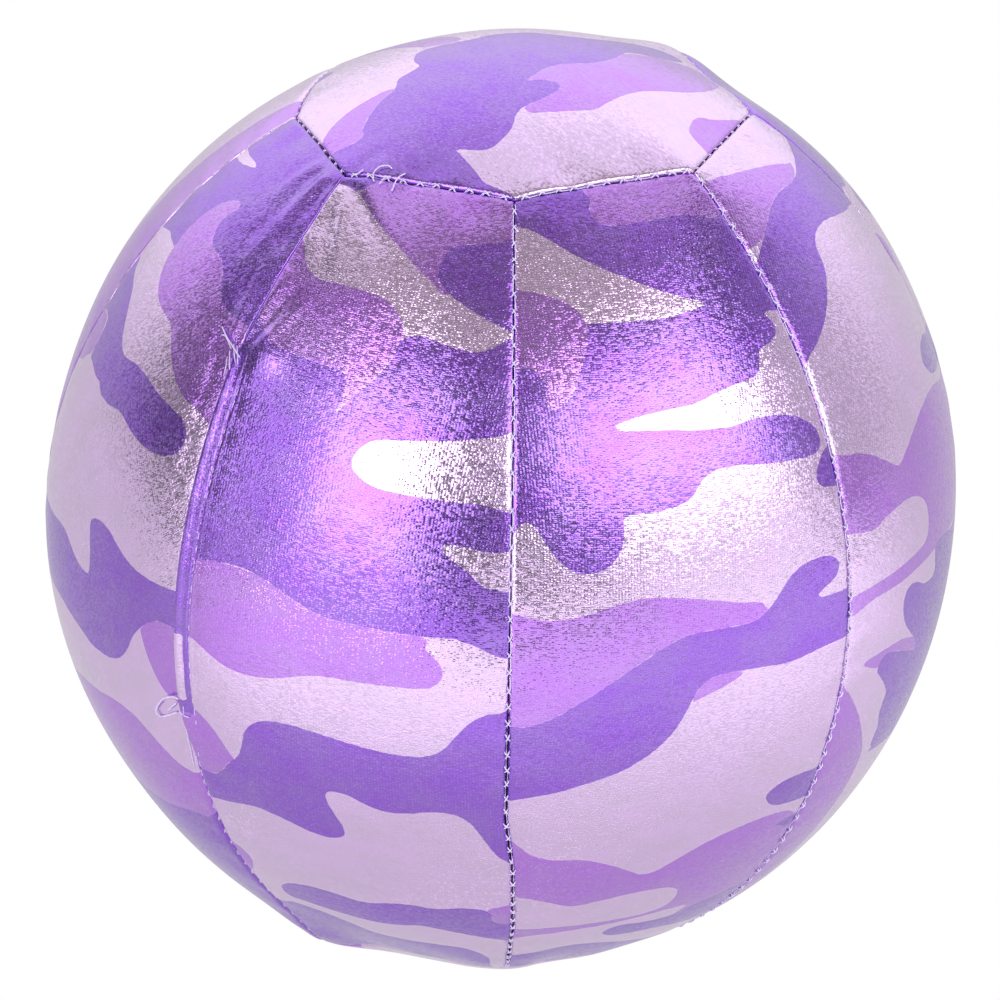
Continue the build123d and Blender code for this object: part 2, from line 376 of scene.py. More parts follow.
# Outlines of the printed patches, in (azimuth, latitude), in the order they are printed
PRINTS = {
    8: [
        (LILAC, [(-47, 49), (-44, 49.5), (-41, 47), (-37, 45.5), (-33, 45.5), (-28, 45.3), (-24, 44.8),
                 (-21, 43.5), (-19, 41), (-19.5, 38.5), (-22, 35), (-26.5, 30.5), (-30, 33), (-47, 34)]),
        (LILAC, [(-38, 64), (-40, 58.5), (-38, 57.5), (-34, 55.8), (-30, 54), (-25, 52), (-20, 49.5),
                 (-16, 47.6), (-12, 46), (2, 46), (2, 64)]),
        (LILAC, [(-49, 9), (-49, 0), (-43.5, 0), (-41, -0.8), (-38, -2), (-35, -2.4), (-31, -2), (-27, -0.9),
                 (-24, -0.4), (-18, -0.4), (-13, -0.3), (-10.5, 0.1), (-9.4, 1.5), (-9.8, 3), (-11.5, 4.6),
                 (-13, 6.5), (-30, 10)]),
        (LILAC, [(-49, -10), (-44, -9.5), (-41, -11), (-39, -13.5), (-37.5, -16), (-39, -19), (-43, -21),
                 (-49, -21)]),
        (LILAC, [(-3.6, -35.5), (-2, -34.8), (2, -34.3), (2, -40), (-1.5, -39.5), (-3, -38.3), (-3.6, -37)]),
        (LILAC, [(-49, -31), (-44, -31.3), (-42.5, -32.5), (-42, -33.8), (-42.6, -35.3), (-44, -36.8),
                 (-49, -38)]),
        (PURPLE, [(-49, 38.5), (-42, 37.5), (-40, 36.5), (-35, 36), (-30, 35.5), (-26.5, 35), (-26, 32),
                  (-26.5, 30.5), (-24, 33), (-22, 35), (-20, 37.5), (-19, 40), (-16, 40.8), (-12, 40),
                  (-7, 39.3), (2, 39), (2, 6), (-8, 6.1), (-14, 6.2), (-20, 6.6), (-24, 6.9), (-27, 7.7),
                  (-30, 8.9), (-33, 9.9), (-36, 10.4), (-40, 10.2), (-43.5, 9.5), (-49, 8.5)]),
        (PURPLE, [(2, 53.3), (-5, 53.3), (-9, 53), (-12.5, 52.7), (-14.5, 51.5), (-15.2, 50), (-15.2, 49),
                  (-14.8, 47.8), (-12, 46), (-8, 44.3), (-4, 42.8), (2, 41.8)]),
        (PURPLE, [(-49, -19), (-43, -18.8), (-41, -18), (-39, -16), (-37.3, -14.5), (-36.2, -12.5),
                  (-35.5, -10.5), (-34.3, -9), (-32.5, -8), (-30, -7.6), (-27, -7.7), (-24, -8.1),
                  (-20, -8.7), (-16, -9.2), (-13, -9.3), (-11, -9), (-9.5, -8.2), (-8, -6.5), (-6.5, -4.7),
                  (-4.5, -3.3), (-2.5, -3), (2, -3), (2, -25.6), (-1.5, -25), (-3, -23.5), (-4.5, -21),
                  (-6, -18.8), (-8, -17.5), (-11, -17.3), (-14, -17.9), (-17, -18), (-19.5, -17.2),
                  (-21.5, -16.3), (-23.5, -16), (-24.7, -16.6), (-24.6, -18), (-23.7, -20), (-22.9, -22),
                  (-23.3, -23.3), (-25.5, -24), (-28.5, -23.6), (-32, -22.6), (-36, -22), (-40, -22.6),
                  (-43, -23.1), (-49, -23.4)]),
        (PURPLE, [(-39.3, -40), (-39, -38.7), (-37.5, -37.4), (-35, -36.4), (-31.5, -35.9), (-28, -36),
                  (-24.5, -36.6), (-22, -36.5), (-19, -35.8), (-15.5, -35.4), (-11.5, -35.8), (-8, -35.3),
                  (-4.5, -35.5), (-3.2, -36.5), (-3, -38), (-1.5, -39.3), (2, -39.8), (2, -45), (-3, -43.8),
                  (-8, -42.3), (-12, -41.2), (-15, -40.8), (-19, -41.6), (-24, -41.9), (-30, -41.5),
                  (-35, -41.1), (-38.5, -41)]),
        (PURPLE, [(-49, -44.5), (-43, -44), (-40, -43), (-37, -42.8), (-33, -43.2), (-29, -44.5),
                  (-25, -46.3), (-20, -46.9), (-14, -47), (-9, -47.5), (-6, -49), (-4.5, -50.5),
                  (-3.6, -52), (-3.4, -55), (-3.5, -65), (-49, -65)]),
        (PURPLE, [(-49, 64), (-49, 58.6), (-42, 57.8), (-39, 57.8), (-36.5, 58.6), (-35, 64)]),
        (SILVER, [(2, 30), (-4, 29.5), (-10, 28.8), (-16, 28.4), (-20, 28), (-22, 26.8), (-22.8, 25.3),
                  (-22, 24), (-19.5, 22.8), (-15, 22.3), (-10, 22), (-6, 21.8), (-3, 21.3), (2, 20.8)]),
        (SILVER, [(2, 16.3), (-4, 16.3), (-7, 16.8), (-9.5, 17), (-10.2, 16.6), (-9, 15.5), (-7, 14.2),
                  (-5, 12.5), (-3, 12), (2, 11.8)]),
    ],
    1: [
        (LILAC, [(14, 64), (49, 64), (49, 52), (15, 54)]),
        (LILAC, [(-4, 8.2), (3, 8.4), (7, 8.8), (11, 9.8), (15, 10.4), (19, 10), (23, 9.2), (27, 8.2),
                 (31.5, 6.6), (30, 0), (10, -6), (-4, -6)]),
        (LILAC, [(-4, -20.5), (0, -22.3), (2, -24), (5, -25), (9, -25.2), (13, -26.6), (16, -28.2),
                 (18, -29.3), (20, -29.3), (22.5, -28), (26, -26), (30, -24.6), (34, -23.9), (38, -23.9),
                 (41, -24.5), (44, -26), (49, -27), (49, -46), (30, -44), (30, -40.3), (12, -41.9),
                 (5, -42.9), (-4, -42.8)]),
        (PURPLE, [(-4, 64), (15, 64), (15.6, 60.6), (16.6, 59), (15.8, 58), (15.6, 56.8), (16.5, 55.8),
                  (18.5, 55.2), (22, 55), (28, 54.9), (34, 54.7), (38, 54), (42, 53), (49, 52.2), (49, 40.2),
                  (44, 40.1), (42, 40.2), (42.9, 38.6), (42.6, 37.3), (41, 36.6), (39, 36.4), (38, 35.8),
                  (37.4, 34.6), (36.5, 33.6), (35, 33.2), (31, 32.9), (28, 32.4), (25, 31.8), (21, 31.6),
                  (17, 31.3), (14, 30.8), (12.2, 30.1), (15, 29.7), (20, 29.3), (25, 28.7), (28, 28.5),
                  (30, 28.4), (33, 28.6), (36, 28.5), (39.5, 27.9), (42, 26.8), (43.6, 25.4), (43.8, 24),
                  (43, 22.9), (41.5, 22.6), (38, 22.8), (34, 23.2), (30, 23.8), (27, 23.9), (25, 23.6),
                  (23.5, 22.6), (22.3, 21.4), (20.5, 20.6), (17, 20.2), (14, 20.1), (12.8, 19.9),
                  (12.7, 18.5), (12.5, 17), (11.8, 15.6), (10.5, 14.4), (8.5, 13.8), (6.5, 14), (4.8, 15),
                  (3, 17), (1.5, 19.2), (0, 19.9), (-4, 20)]),
        (SILVER, [(-4, 55.3), (0, 55.3), (2, 55), (5, 54), (9, 52.2), (14, 50), (19, 48), (24, 46),
                  (28, 44.5), (32, 43.2), (29, 42.7), (24, 42.4), (18, 42.5), (12, 42.8), (10, 43), (6, 46),
                  (-4, 47)]),
        (LILAC, [(-4, 47.3), (0, 47.2), (3, 46.8), (6, 46), (8.5, 45), (10, 43.5), (10.3, 42.5), (10, 40),
                 (9, 38), (8.2, 36.5), (7.3, 34.8), (6.3, 33.6), (5, 32.8), (3.8, 32.9), (3.1, 34),
                 (3.6, 35.3), (2.5, 36.5), (1, 37.7), (-4, 38)]),
        (PURPLE, [(49, 23), (44.5, 22.8), (42.8, 21.7), (41.6, 20.2), (41.8, 19), (43.5, 18.4), (49, 18)]),
        (PURPLE, [(-4, -4.9), (0, -4.8), (3, -4.1), (6, -2.5), (9, -0.7), (12, 1.2), (15, 3), (18, 4.5),
                  (21, 5.4), (25, 5.4), (29, 5.4), (30.8, 6), (32.5, 7.2), (34.5, 9.2), (36.5, 10.4),
                  (39.5, 10.8), (42, 10.4), (43.2, 9.2), (42.5, 7.8), (40.5, 7), (39.2, 6.3), (40.5, 5.9),
                  (44.5, 5.8), (49, 5.8), (49, -0.2), (44.5, -0.2), (40, -0.4), (35, -0.9), (30, -0.5),
                  (25, -0.3), (22.8, -0.9), (21.5, -2.4), (20.3, -4.8), (18.5, -7.5), (15.5, -10),
                  (12, -11.8), (7, -13.3), (3, -14.3), (-4, -14.6)]),
        (PURPLE, [(35, -20.3), (35.3, -19.3), (37, -18.4), (40, -18.1), (44, -18.4), (49, -18.6),
                  (49, -23.2), (43, -23.1), (39, -22.6), (36.5, -21.8)]),
        (PURPLE, [(39.5, -26.6), (42, -26.2), (49, -26), (49, -28.5), (44, -28.2), (41, -27.3)]),
        (SILVER, [(-4, -32.8), (0, -32.5), (3, -33), (6, -34), (9, -34.9), (13, -34.2), (17, -33.5),
                  (21, -33.4), (24, -33.8), (26, -35), (26.5, -37), (25.5, -39), (23, -39.8), (20, -40.1),
                  (0, -41), (-4, -41)]),
        (PURPLE, [(16.5, -44.5), (17.5, -43), (20, -42.5), (24, -43), (30, -42.8), (34, -41), (49, -40),
                  (49, -50), (30, -47), (25, -46.5), (19, -46)]),
        (PURPLE, [(-4, -53), (5, -50), (14, -48), (30, -52), (49, -56), (49, -65), (-4, -65)]),
    ],
    2: [
        (LILAC, [(42, 57.5), (48, 57.4), (52, 57.4), (57, 57), (62, 56.5), (67, 55.8), (72, 54.8),
                 (76, 53.6), (78.5, 52.6), (70, 51), (42, 48)]),
        (PURPLE, [(42, 46), (46, 46), (49, 47.5), (53, 49.2), (57, 50.7), (61, 51.6), (66, 52), (72, 51.6),
                  (77, 51.8), (82, 52.6), (94, 54), (94, 42.6), (85, 43.2), (80, 44), (75, 45), (70, 45.7),
                  (66, 45.6), (63.5, 45), (62, 43.8), (60.5, 41.5), (58, 39.4), (55, 37.2), (52, 35.5),
                  (48, 33.7), (42, 32.3)]),
        (LILAC, [(42, 20.7), (48, 20.9), (51, 20.3), (54, 19), (57, 17.2), (58.5, 16.6), (60.5, 17.4),
                 (64, 19), (68, 20.3), (72, 20.8), (76, 20.6), (80, 19.7), (84, 18.7), (94, 17), (94, 2),
                 (72, 3), (67.4, 3), (58, 2.9), (50, 2.9), (42, 3.2)]),
        (SILVER, [(41, 12), (50, 11.2), (53, 11.8), (57, 12.2), (60, 12.1), (62.5, 11.3), (64.3, 9.8),
                  (64.8, 8), (64.4, 6.2), (63, 5.2), (58, 4.9), (52, 4.7), (41, 4.9)]),
        (LILAC, [(48.3, -5.3), (51, -4.9), (56, -5), (60, -5.9), (63.5, -7.5), (64, -9.5), (58, -8),
                 (52, -7)]),
        (PURPLE, [(67.3, 3), (69, 3.4), (73, 3), (77, 2), (94, 0), (94, -25), (60, -22), (58.5, -21.3),
                  (57.3, -20), (57.3, -17.5), (56.5, -16), (56, -14.5), (56.2, -12.3), (55.5, -11),
                  (53.5, -9), (52, -7.5), (52.3, -6.3), (53.7, -5.7), (56, -6.2), (59, -7.3), (62, -8.4),
                  (63.5, -8.8), (62, -6.8), (59.5, -4.8), (57.6, -2.8), (56.8, -0.8), (57.2, 0.8),
                  (58.7, 1.5), (61, 1), (63.5, -0.1), (67.2, -0.2)]),
        (LILAC, [(41, -7), (45.5, -7.8), (48, -10.5), (51, -14.3), (53.5, -18), (55.3, -21.5),
                 (55.5, -30), (52, -45), (50, -65), (41, -65)]),
        (PURPLE, [(75.1, 23.6), (76, 25), (78.5, 25.6), (82, 25.3), (86, 24.2), (94, 23), (94, 19),
                  (86, 19.8), (81, 20.7), (77.5, 21.7)]),
        (PURPLE, [(62, -34), (70, -31), (78, -32), (94, -36), (94, -48), (80, -46), (68, -42), (60, -38)]),
    ],
    7: [
        (LILAC, [(-75, 45), (-74.2, 42.5), (-73.8, 40), (-72.5, 38), (-70.5, 36.3), (-68, 35), (-65, 34.3),
                 (-62, 33.8), (-60.3, 33), (-58.5, 31.4), (-56.5, 29.6), (-54.5, 28.2), (-52, 27),
                 (-49.5, 26.4), (-41, 25.8), (-41, 45), (-65, 52)]),
        (PURPLE, [(-91, 65), (-41, 65), (-41, 39), (-47, 37.7), (-50, 37.9), (-52.5, 38.7), (-54.5, 40),
                  (-56, 41.6), (-57.5, 42.7), (-59.5, 43.4), (-62, 43.8), (-64, 44.2), (-65.5, 45.3),
                  (-66.4, 46.8), (-66.2, 48.2), (-65, 49.3), (-66, 50.1), (-68, 50), (-70.5, 49),
                  (-72.7, 47), (-73.8, 45), (-74.3, 42.5), (-74, 40.9), (-77, 41), (-80, 41.3),
                  (-91, 41.8)]),
        (SILVER, [(-91, 54.8), (-80, 54.8), (-75, 54.9), (-72.5, 54.6), (-76, 53.9), (-80, 53.4),
                  (-91, 53)]),
        (LILAC, [(-80, 25.5), (-80.7, 27.2), (-82.5, 28), (-91, 27.5), (-91, 20.5), (-84, 21), (-82, 22.3),
                 (-80.3, 23.3)]),
        (PURPLE, [(-91, 36), (-84.5, 36), (-82, 34.6), (-79, 33.6), (-77, 32.6), (-75, 31), (-73, 29.2),
                  (-71, 27.7), (-68.5, 26.9), (-65, 27.2), (-61, 26.8), (-57, 25.8), (-53, 25),
                  (-50.5, 24.4), (-49.2, 23), (-49.2, 21.6), (-50.3, 20.2), (-53, 19.4), (-56.5, 19.4),
                  (-60, 20.1), (-64, 21.2), (-68, 20.9), (-71, 21.1), (-73, 22), (-75, 22.1), (-78, 22.7),
                  (-80, 23.3), (-80, 27), (-82.5, 28.2), (-91, 28)]),
        (LILAC, [(-41, 1), (-50, 1), (-52.3, -1.5), (-51.7, -4), (-50.4, -6.5), (-49, -8.4), (-47, -9.4),
                 (-41, -9.8)]),
        (PURPLE, [(-91, 1), (-86, 2.6), (-82, 2.8), (-78, 2.8), (-75.5, 3), (-73, 2.7), (-71, 1.7),
                  (-69, 0.7), (-67, 0.2), (-65.4, 0.3), (-65, 1.2), (-65, 3), (-65.4, 5), (-65.6, 6.8),
                  (-64.5, 7.6), (-62.5, 7.9), (-60, 7.4), (-57, 6), (-54, 5.1), (-50, 4.7), (-41, 4.6),
                  (-41, 0.3), (-48, 0.3), (-50, -0.3), (-52, -1.6), (-54, -3.5), (-55.3, -5.5),
                  (-57, -7.3), (-59, -8.4), (-61.5, -8.9), (-65, -8.9), (-68, -8.2), (-72, -7.4),
                  (-76, -6.8), (-82, -6.8), (-91, -8)]),
        (LILAC, [(-91, -18.5), (-78, -17.5), (-72, -16.2), (-66, -15.5), (-62, -14.9), (-59, -14.8),
                 (-56, -15.3), (-53.5, -16.6), (-51, -18.3), (-49, -19.4), (-46.5, -20), (-41, -20.3),
                 (-41, -30), (-91, -30)]),
        (PURPLE, [(-41, -27.7), (-47, -27.6), (-51, -27.9), (-56, -28.8), (-60, -29.2), (-66, -29.3),
                  (-72, -29), (-91, -28), (-91, -65), (-41, -65)]),
        (SILVER, [(-91, -38), (-78, -37), (-66, -39), (-58, -43), (-64, -48), (-76, -50), (-91, -49)]),
    ],
}

# The end panels' print, in millimetres across (x) and away from the front (y)
END_PRINT = [
    (LILAC, [(-49, -31), (-46, -22), (-41, -16), (-35, -12.5), (-30, -10.8), (-26, -14), (-34, -30),
             (-48, -34)]),
    (LILAC, [(38, 16), (28, 9), (25, 3), (20, -2), (12, -5), (8, -8), (5, -12), (3, -15), (2, -29.5),
             (8, -30.2), (14, -29), (19, -27.5), (22, -24), (26, -19), (31, -14), (37, -10), (43, -6),
             (48, -1), (51, 5), (52, 12), (48, 22)]),
    (LILAC, [(64, -4), (57, -8), (50, -14), (45, -17), (43, -22), (42.5, -26), (45, -30), (48, -32),
             (60, -34)]),
    (LILAC, [(-26, 20), (-20, 14), (-12, 16), (-16, 24), (-30, 34), (-44, 40), (-46, 34), (-34, 28)]),
    (LILAC, [(2, 62), (4, 52), (14, 46), (26, 48), (34, 56), (30, 66)]),
    (PURPLE, [(-60, -34), (-48, -31), (-38, -30), (-37, -25), (-34, -18), (-29, -11), (-28, -6), (-23, -1),
              (-24, 4), (-23, 10), (-18, 13), (-10, 15), (-4, 19), (6, 21), (14, 19), (22, 20), (32, 26),
              (40, 28), (44, 24), (38, 16), (30, 12), (28, 9), (25, 3), (20, -2), (12, -5), (8, -8),
              (5, -12), (3, -15), (6, -14.7), (9, -15), (11, -17), (10.5, -20), (7, -24), (2, -28),
              (0, -31), (-1.5, -37), (-5, -42), (-8, -43.8), (-12, -43), (-15, -42), (-13.5, -45),
              (-11, -49), (-8, -54), (-2, -62), (-60, -62)]),
    (PURPLE, [(-66, 12), (-54, 8), (-50, 14), (-44, 18), (-46, 26), (-58, 34), (-66, 30)]),
]
BOTTOM_PRINT_TURN = np.array([[-0.8, -0.6], [0.6, -0.8]])  # the bottom panel is cut turned

# Which printed panel each gore is cut from: (panel, mirrored left to right, turned upside down)
CUTS = {
    1: (1, False, False), 2: (2, False, False), 3: (8, False, True), 4: (1, True, True),
    5: (7, False, True), 6: (2, True, True), 7: (7, False, False), 8: (8, False, False),
}


def bend(p0, p1, p2, p3, t):
    """Catmull-Rom curve between p1 and p2, at the share t of the way."""
    return 0.5 * (2 * p1 + (p2 - p0) * t + (2 * p0 - 5 * p1 + 4 * p2 - p3) * t**2
                  + (3 * p1 - p0 - 3 * p2 + p3) * t**3)


def rounded(outline):
    """Closed outline through the points, with smooth bends."""
    p1 = np.asarray(outline, float)
    p0, p2, p3 = np.roll(p1, 1, 0), np.roll(p1, -1, 0), np.roll(p1, -2, 0)
    steps = [bend(p0, p1, p2, p3, t) for t in np.arange(SMOOTH_STEPS) / SMOOTH_STEPS]
    return np.stack(steps, 1).reshape(-1, 2)


def signed_distance(points, outline):
    """Distance of points to an outline, positive inside, within the print's limits."""
    result = np.full(len(points), -FAR)
    low, high = outline.min(0) - FAR, outline.max(0) + FAR
    near = np.all((points > low) & (points < high), axis=1)
    p = points[near]
    if not len(p):
        return result
    best = np.full(len(p), np.inf)
    inside = np.zeros(len(p), bool)
    for a, b in zip(outline, np.roll(outline, -1, 0)):
        edge = b - a
        share = np.clip(((p - a) @ edge) / max(edge @ edge, 1e-9), 0, 1)
        best = np.minimum(best, ((p - a - share[:, None] * edge) ** 2).sum(1))
        if a[1] != b[1]:
            crosses = (a[1] > p[:, 1]) != (b[1] > p[:, 1])
            inside ^= crosses & (p[:, 0] < a[0] + edge[0] * (p[:, 1] - a[1]) / edge[1])
    result[near] = np.clip(np.sqrt(best) * np.where(inside, 1, -1), -FAR, FAR)
    return result


def paint(fields, tone, shape):
    """Prints one patch over what is there; shape is positive inside the patch."""
    for other in fields:
        if other == tone:
            fields[other] = np.maximum(fields[other], shape)
        else:
            fields[other] = np.minimum(fields[other], -shape)


def print_fields(points, patches):
    """The lilac and purple fields of a print: positive where that tone shows."""
    fields = {tone: np.full(len(points), -FAR) for tone in (LILAC, PURPLE)}
    for tone, outline in patches:
        paint(fields, tone, signed_distance(points, outline))
    return fields


def flat_cloth(azimuth, latitude, middle):
    """Flat coordinates of a gore's cloth."""
    across = EQUATOR * np.cos(np.radians(latitude)) * np.radians(azimuth - middle)
    return np.stack([across, MM_PER_DEGREE * np.asarray(latitude, float)], -1)


def gore_fields(number, azimuth, latitude):
    """Print fields at points of a gore."""
    source, mirrored, turned = CUTS[number]
    start = (source - 1) * GORE_ANGLE - (360 if source > 4 else 0)
    own = azimuth - (number - 1) * GORE_ANGLE
    if mirrored:
        own = GORE_ANGLE - own
    lat = -latitude if turned else latitude
    middle = start + GORE_ANGLE / 2
    points = flat_cloth(start + own, lat, middle).reshape(-1, 2)
    patches = []
    for tone, outline in PRINTS[source]:
        curve = rounded(outline)
        patches.append((tone, flat_cloth(curve[:, 0], curve[:, 1], middle)))
    fields = print_fields(points, patches)
    return {tone: values.reshape(latitude.shape) for tone, values in fields.items()}


def end_fields(points, end):
    """Print fields at points of an end panel."""
    flat = points[..., :2] - CENTRE[:2]
    if end < 0:
        flat = flat @ BOTTOM_PRINT_TURN
    patches = [(tone, rounded(outline)) for tone, outline in END_PRINT]
    fields = print_fields(flat.reshape(-1, 2), patches)
    return {tone: values.reshape(points.shape[:-1]) for tone, values in fields.items()}


# ---------------------------------------------------------------- panels

# Cross-sections of a panel's edge, from 8 mm in to the end of the turned-in cloth:
# (distance from the seam, height over the cover)
FLAT_PART = [(8.0, 0), (7.0, 0), (6.2, 0), (5.4, 0), (4.7, 0), (4.0, 0), (3.3, 0), (2.7, 0), (2.1, 0)]
SEAM_EDGE = FLAT_PART + [
    (1.6, -0.02), (1.15, -0.07), (0.8, -0.18), (0.54, -0.36), (0.38, -0.6), (0.28, -0.85),
]
SEAM_EDGE += [(GAP, depth) for depth in (-1.05, -1.2, -1.4, -1.55, -1.7)]
TIGHT_EDGE = FLAT_PART + [
    (1.6, 0), (1.15, 0), (0.8, -0.02), (0.5, -0.06), (0.28, -0.14), (0.13, -0.28), (0.06, -0.5),
]
TIGHT_EDGE += [(TIGHT_GAP, depth) for depth in (-0.8, -1.1, -1.4, -1.7)]
HEM_EDGE = [
    (8.0, 0), (7.0, 0), (6.2, -0.02), (5.4, -0.05), (4.8, -0.01), (4.3, 0.03), (3.8, -0.1),
    (3.3, 0.06), (2.7, 0.19), (1.9, 0.08), (1.1, 0.34), (0.3, 0.54), (-0.4, 0.62), (-0.85, 0.5),
    (-1.02, 0.3), (-0.95, 0.1), (-0.4, 0.05), (2.0, -0.4), (4.5, -0.72), (7.0, -0.92),
]
UNDER_EDGE = FLAT_PART + [
    (1.6, 0), (1.2, 0), (0.9, -0.1), (0.7, -0.3), (0.45, -0.65), (0.1, -1.0), (-0.5, -1.3),
    (-1.4, -1.42), (-2.5, -1.42), (-3.5, -1.42), (-4.5, -1.42),
]
EDGE_REACH = SEAM_EDGE[0][0]
TIGHT_SEAM = (-91, -90, 1.0)  # as below, tight at every latitude
# Seams that the pressure pulls open enough to show their stitches: the latitudes between which
# each tightens again, and how far
OPEN_SEAMS = {0: (-12, 8, 0.75), 1: (0, 50, 0.3), 7: (SLIT_TOP - 2, SLIT_TOP + 2, 1.0)}
# The same for the seams round the end panels, by the gore that they border
END_TIGHTNESS = {1: 0.6, 6: 0.45}
TOPSTITCH = 3.8  # mm from the lip's edge
# The hem's own print: (tone, lowest and highest latitude, width from the edge)
HEM_PRINT = [(PURPLE, -11.0, 30.0, TOPSTITCH), (SILVER, -9.3, -0.3, 1.9)]
PUFF, END_PUFF = 0.4, 0.3  # mm that the gores and end panels stand out between their seams
PUFF_REACH = 12.0
# Puckers of a gore's sides and ends and of an end panel: (height, distance from the seam, spread)
SIDE_PUCKER, GORE_END_PUCKER, END_PANEL_PUCKER = (0.10, 3.5, 3.5), (0.16, 4.0, 5.0), (0.12, 4.5, 5.0)
KNIT_TURN = {1: 4, 2: 30, 3: -20, 4: 35, 5: 10, 6: -35, 7: -38, 8: 2}  # of the rows, in degrees
END_KNIT_TURN = 42
END_LAYER, LAYER_STEP = 11, 17.0  # every panel has its own layer of the knit's random pattern
LOOP = np.array([0.75, 0.46])  # width and height of a loop of the knit
GORE_LENGTH, GORE_WIDTH = 245, 75  # mm, which set the number of a gore's even mesh lines
END_SIDE, END_DEPTH = 46, 48  # the same for one side of an end panel and from there to the pole


def slit_share(latitude):
    """1 along the slit, fading to 0 beyond its ends."""
    upper = 1 - smooth(latitude, HEM_FULL_TOP, HEM_FADE_TOP)
    return upper * smooth(latitude, HEM_FADE_BOTTOM, HEM_FULL_BOTTOM)


def edge_section(seam, latitude, opened):
    """Distances and heights of a panel's edge at each latitude."""
    loose, tight = np.array(SEAM_EDGE, float), np.array(TIGHT_EDGE, float)
    low, high, most = OPEN_SEAMS.get(seam % GORES, TIGHT_SEAM)
    tightness = most * smooth(latitude, low, high)
    section = loose + (tight - loose) * tightness[:, None, None]
    if opened is not None:
        share = slit_share(latitude)[:, None, None]
        section = section + (np.array(opened, float) - section) * share
    return section[..., 0], section[..., 1]


def end_edge(number):
    """Cross-section of a panel's edge in the seam between a gore and an end panel."""
    loose, tight = np.array(SEAM_EDGE, float), np.array(TIGHT_EDGE, float)
    return loose + (tight - loose) * END_TIGHTNESS.get(number, 0)


def knit_place(flat, degrees_turned, layer):
    """Columns and rows of the knit's loops, and a number that sets panels apart."""
    angle = math.radians(degrees_turned)
    turn = np.array([[math.cos(angle), math.sin(angle)], [-math.sin(angle), math.cos(angle)]])
    return np.concatenate([flat @ turn / LOOP, np.full(flat.shape[:-1] + (1,), LAYER_STEP * layer)], -1)


def gore_panel(number, material, left_edge=None, right_edge=None):
    """One gore with its edges turned in, between its two seams and the end panels."""
    first, second = number - 1, number
    pitch = FINE_PITCH if number in CREASED else PITCH
    inner_rows = int(GORE_LENGTH / pitch)
    inner_columns = int(GORE_WIDTH / pitch)
    share_u = np.linspace(0, 1, inner_columns + 2)[1:-1]
    share_v = np.linspace(0, 1, inner_rows + 2)[1:-1]
    edge = end_edge(first)
    # Latitudes: rows of the two ends' cross-sections, and even rows between them
    ends = []
    for end, corner in ((-1, BOTTOM_CORNER), (1, TOP_CORNER)):
        left, right = (float(seam_azimuth(n, corner)) for n in (first, second))
        width = EQUATOR * math.cos(math.radians(corner)) * math.radians(right - left)
        reach = edge[:, 0] / width * (right - left)
        inner = left + reach[0] + share_u * (right - left - 2 * reach[0])
        azimuths = np.concatenate([left + reach[::-1], inner, right - reach])
        ends.append(end_latitude(first, end, azimuths))
    low, high = ends
    edge_degrees = edge[:, 0] / MM_PER_DEGREE
    bottom = low[None] + edge_degrees[::-1, None]
    top = high[None] - edge_degrees[:, None]
    middle = bottom[-1] + share_v[:, None] * (top[0] - bottom[-1])[None]
    latitude = np.concatenate([bottom, middle, top])
    end_height = np.concatenate([edge[::-1, 1], np.zeros(inner_rows), edge[:, 1]])
    # Azimuths and heights, row by row
    row_latitude = latitude[:, latitude.shape[1] // 2]
    per_mm = np.degrees(1 / (EQUATOR * np.cos(np.radians(latitude))))
    left = seam_azimuth(first, latitude)
    right = seam_azimuth(second, latitude)
    reach_left, height_left = edge_section(first, row_latitude, left_edge)
    reach_right, height_right = edge_section(second, row_latitude, right_edge)
    count = len(edge)
    inside = slice(count, -count)
    azimuth = np.empty_like(latitude)
    azimuth[:, :count] = left[:, :count] + reach_left[:, ::-1] * per_mm[:, :count]
    azimuth[:, -count:] = right[:, -count:] - reach_right * per_mm[:, -count:]
    start = left[:, inside] + EDGE_REACH * per_mm[:, inside]
    finish = right[:, inside] - EDGE_REACH * per_mm[:, inside]
    azimuth[:, inside] = start + share_u * (finish - start)
    side_height = np.zeros_like(latitude)
    side_height[:, :count] = height_left[:, ::-1]
    side_height[:, -count:] = height_right
    height = np.where(side_height > 0, side_height, 0)
    sunk = np.minimum(side_height, 0) ** 4 + np.minimum(end_height[:, None], 0) ** 4
    height = height - sunk**0.25
    # Puffed a little between the seams, and puckered by the stitches
    from_sides = np.minimum(azimuth - left, right - azimuth) / per_mm
    from_ends = np.minimum(latitude - low, high - latitude) * MM_PER_DEGREE
    inland = np.clip(np.minimum(from_sides, from_ends), 0, None)
    height = height + PUFF * (1 - np.exp(-inland / PUFF_REACH))
    height = height + puckers(azimuth, latitude, from_sides, from_ends, number)
    outer = cover(azimuth, latitude, height)
    flat = flat_cloth(azimuth, latitude, (number - 0.5) * GORE_ANGLE)
    fields = gore_fields(number, azimuth, latitude)
    if left_edge is not None:
        fields = hem_print(fields, reach_left, row_latitude)
    knit = knit_place(flat, KNIT_TURN[number], number)
    return cloth_shell(f"gore_panel_{number}_cloth", outer, knit, fields, material)


def hem_print(fields, reach, latitude):
    """Prints the folded strip of the hem, which comes from further along the cloth."""
    strip = slice(0, reach.shape[1])
    part = {tone: values[:, strip] for tone, values in fields.items()}
    for tone, low, high, width in HEM_PRINT:
        across = width - reach[:, ::-1]
        along = np.minimum(latitude - low, high - latitude)[:, None] * MM_PER_DEGREE
        paint(part, tone, np.clip(np.minimum(across, along), -FAR, FAR))
    for tone, values in part.items():
        fields[tone][:, strip] = values
    return fields


def uneven_wave(angle, pace, phase, sway, sway_pace):
    """Wave whose crests are unevenly spaced."""
    return np.sin(angle * pace + phase + sway * np.sin(angle * sway_pace))


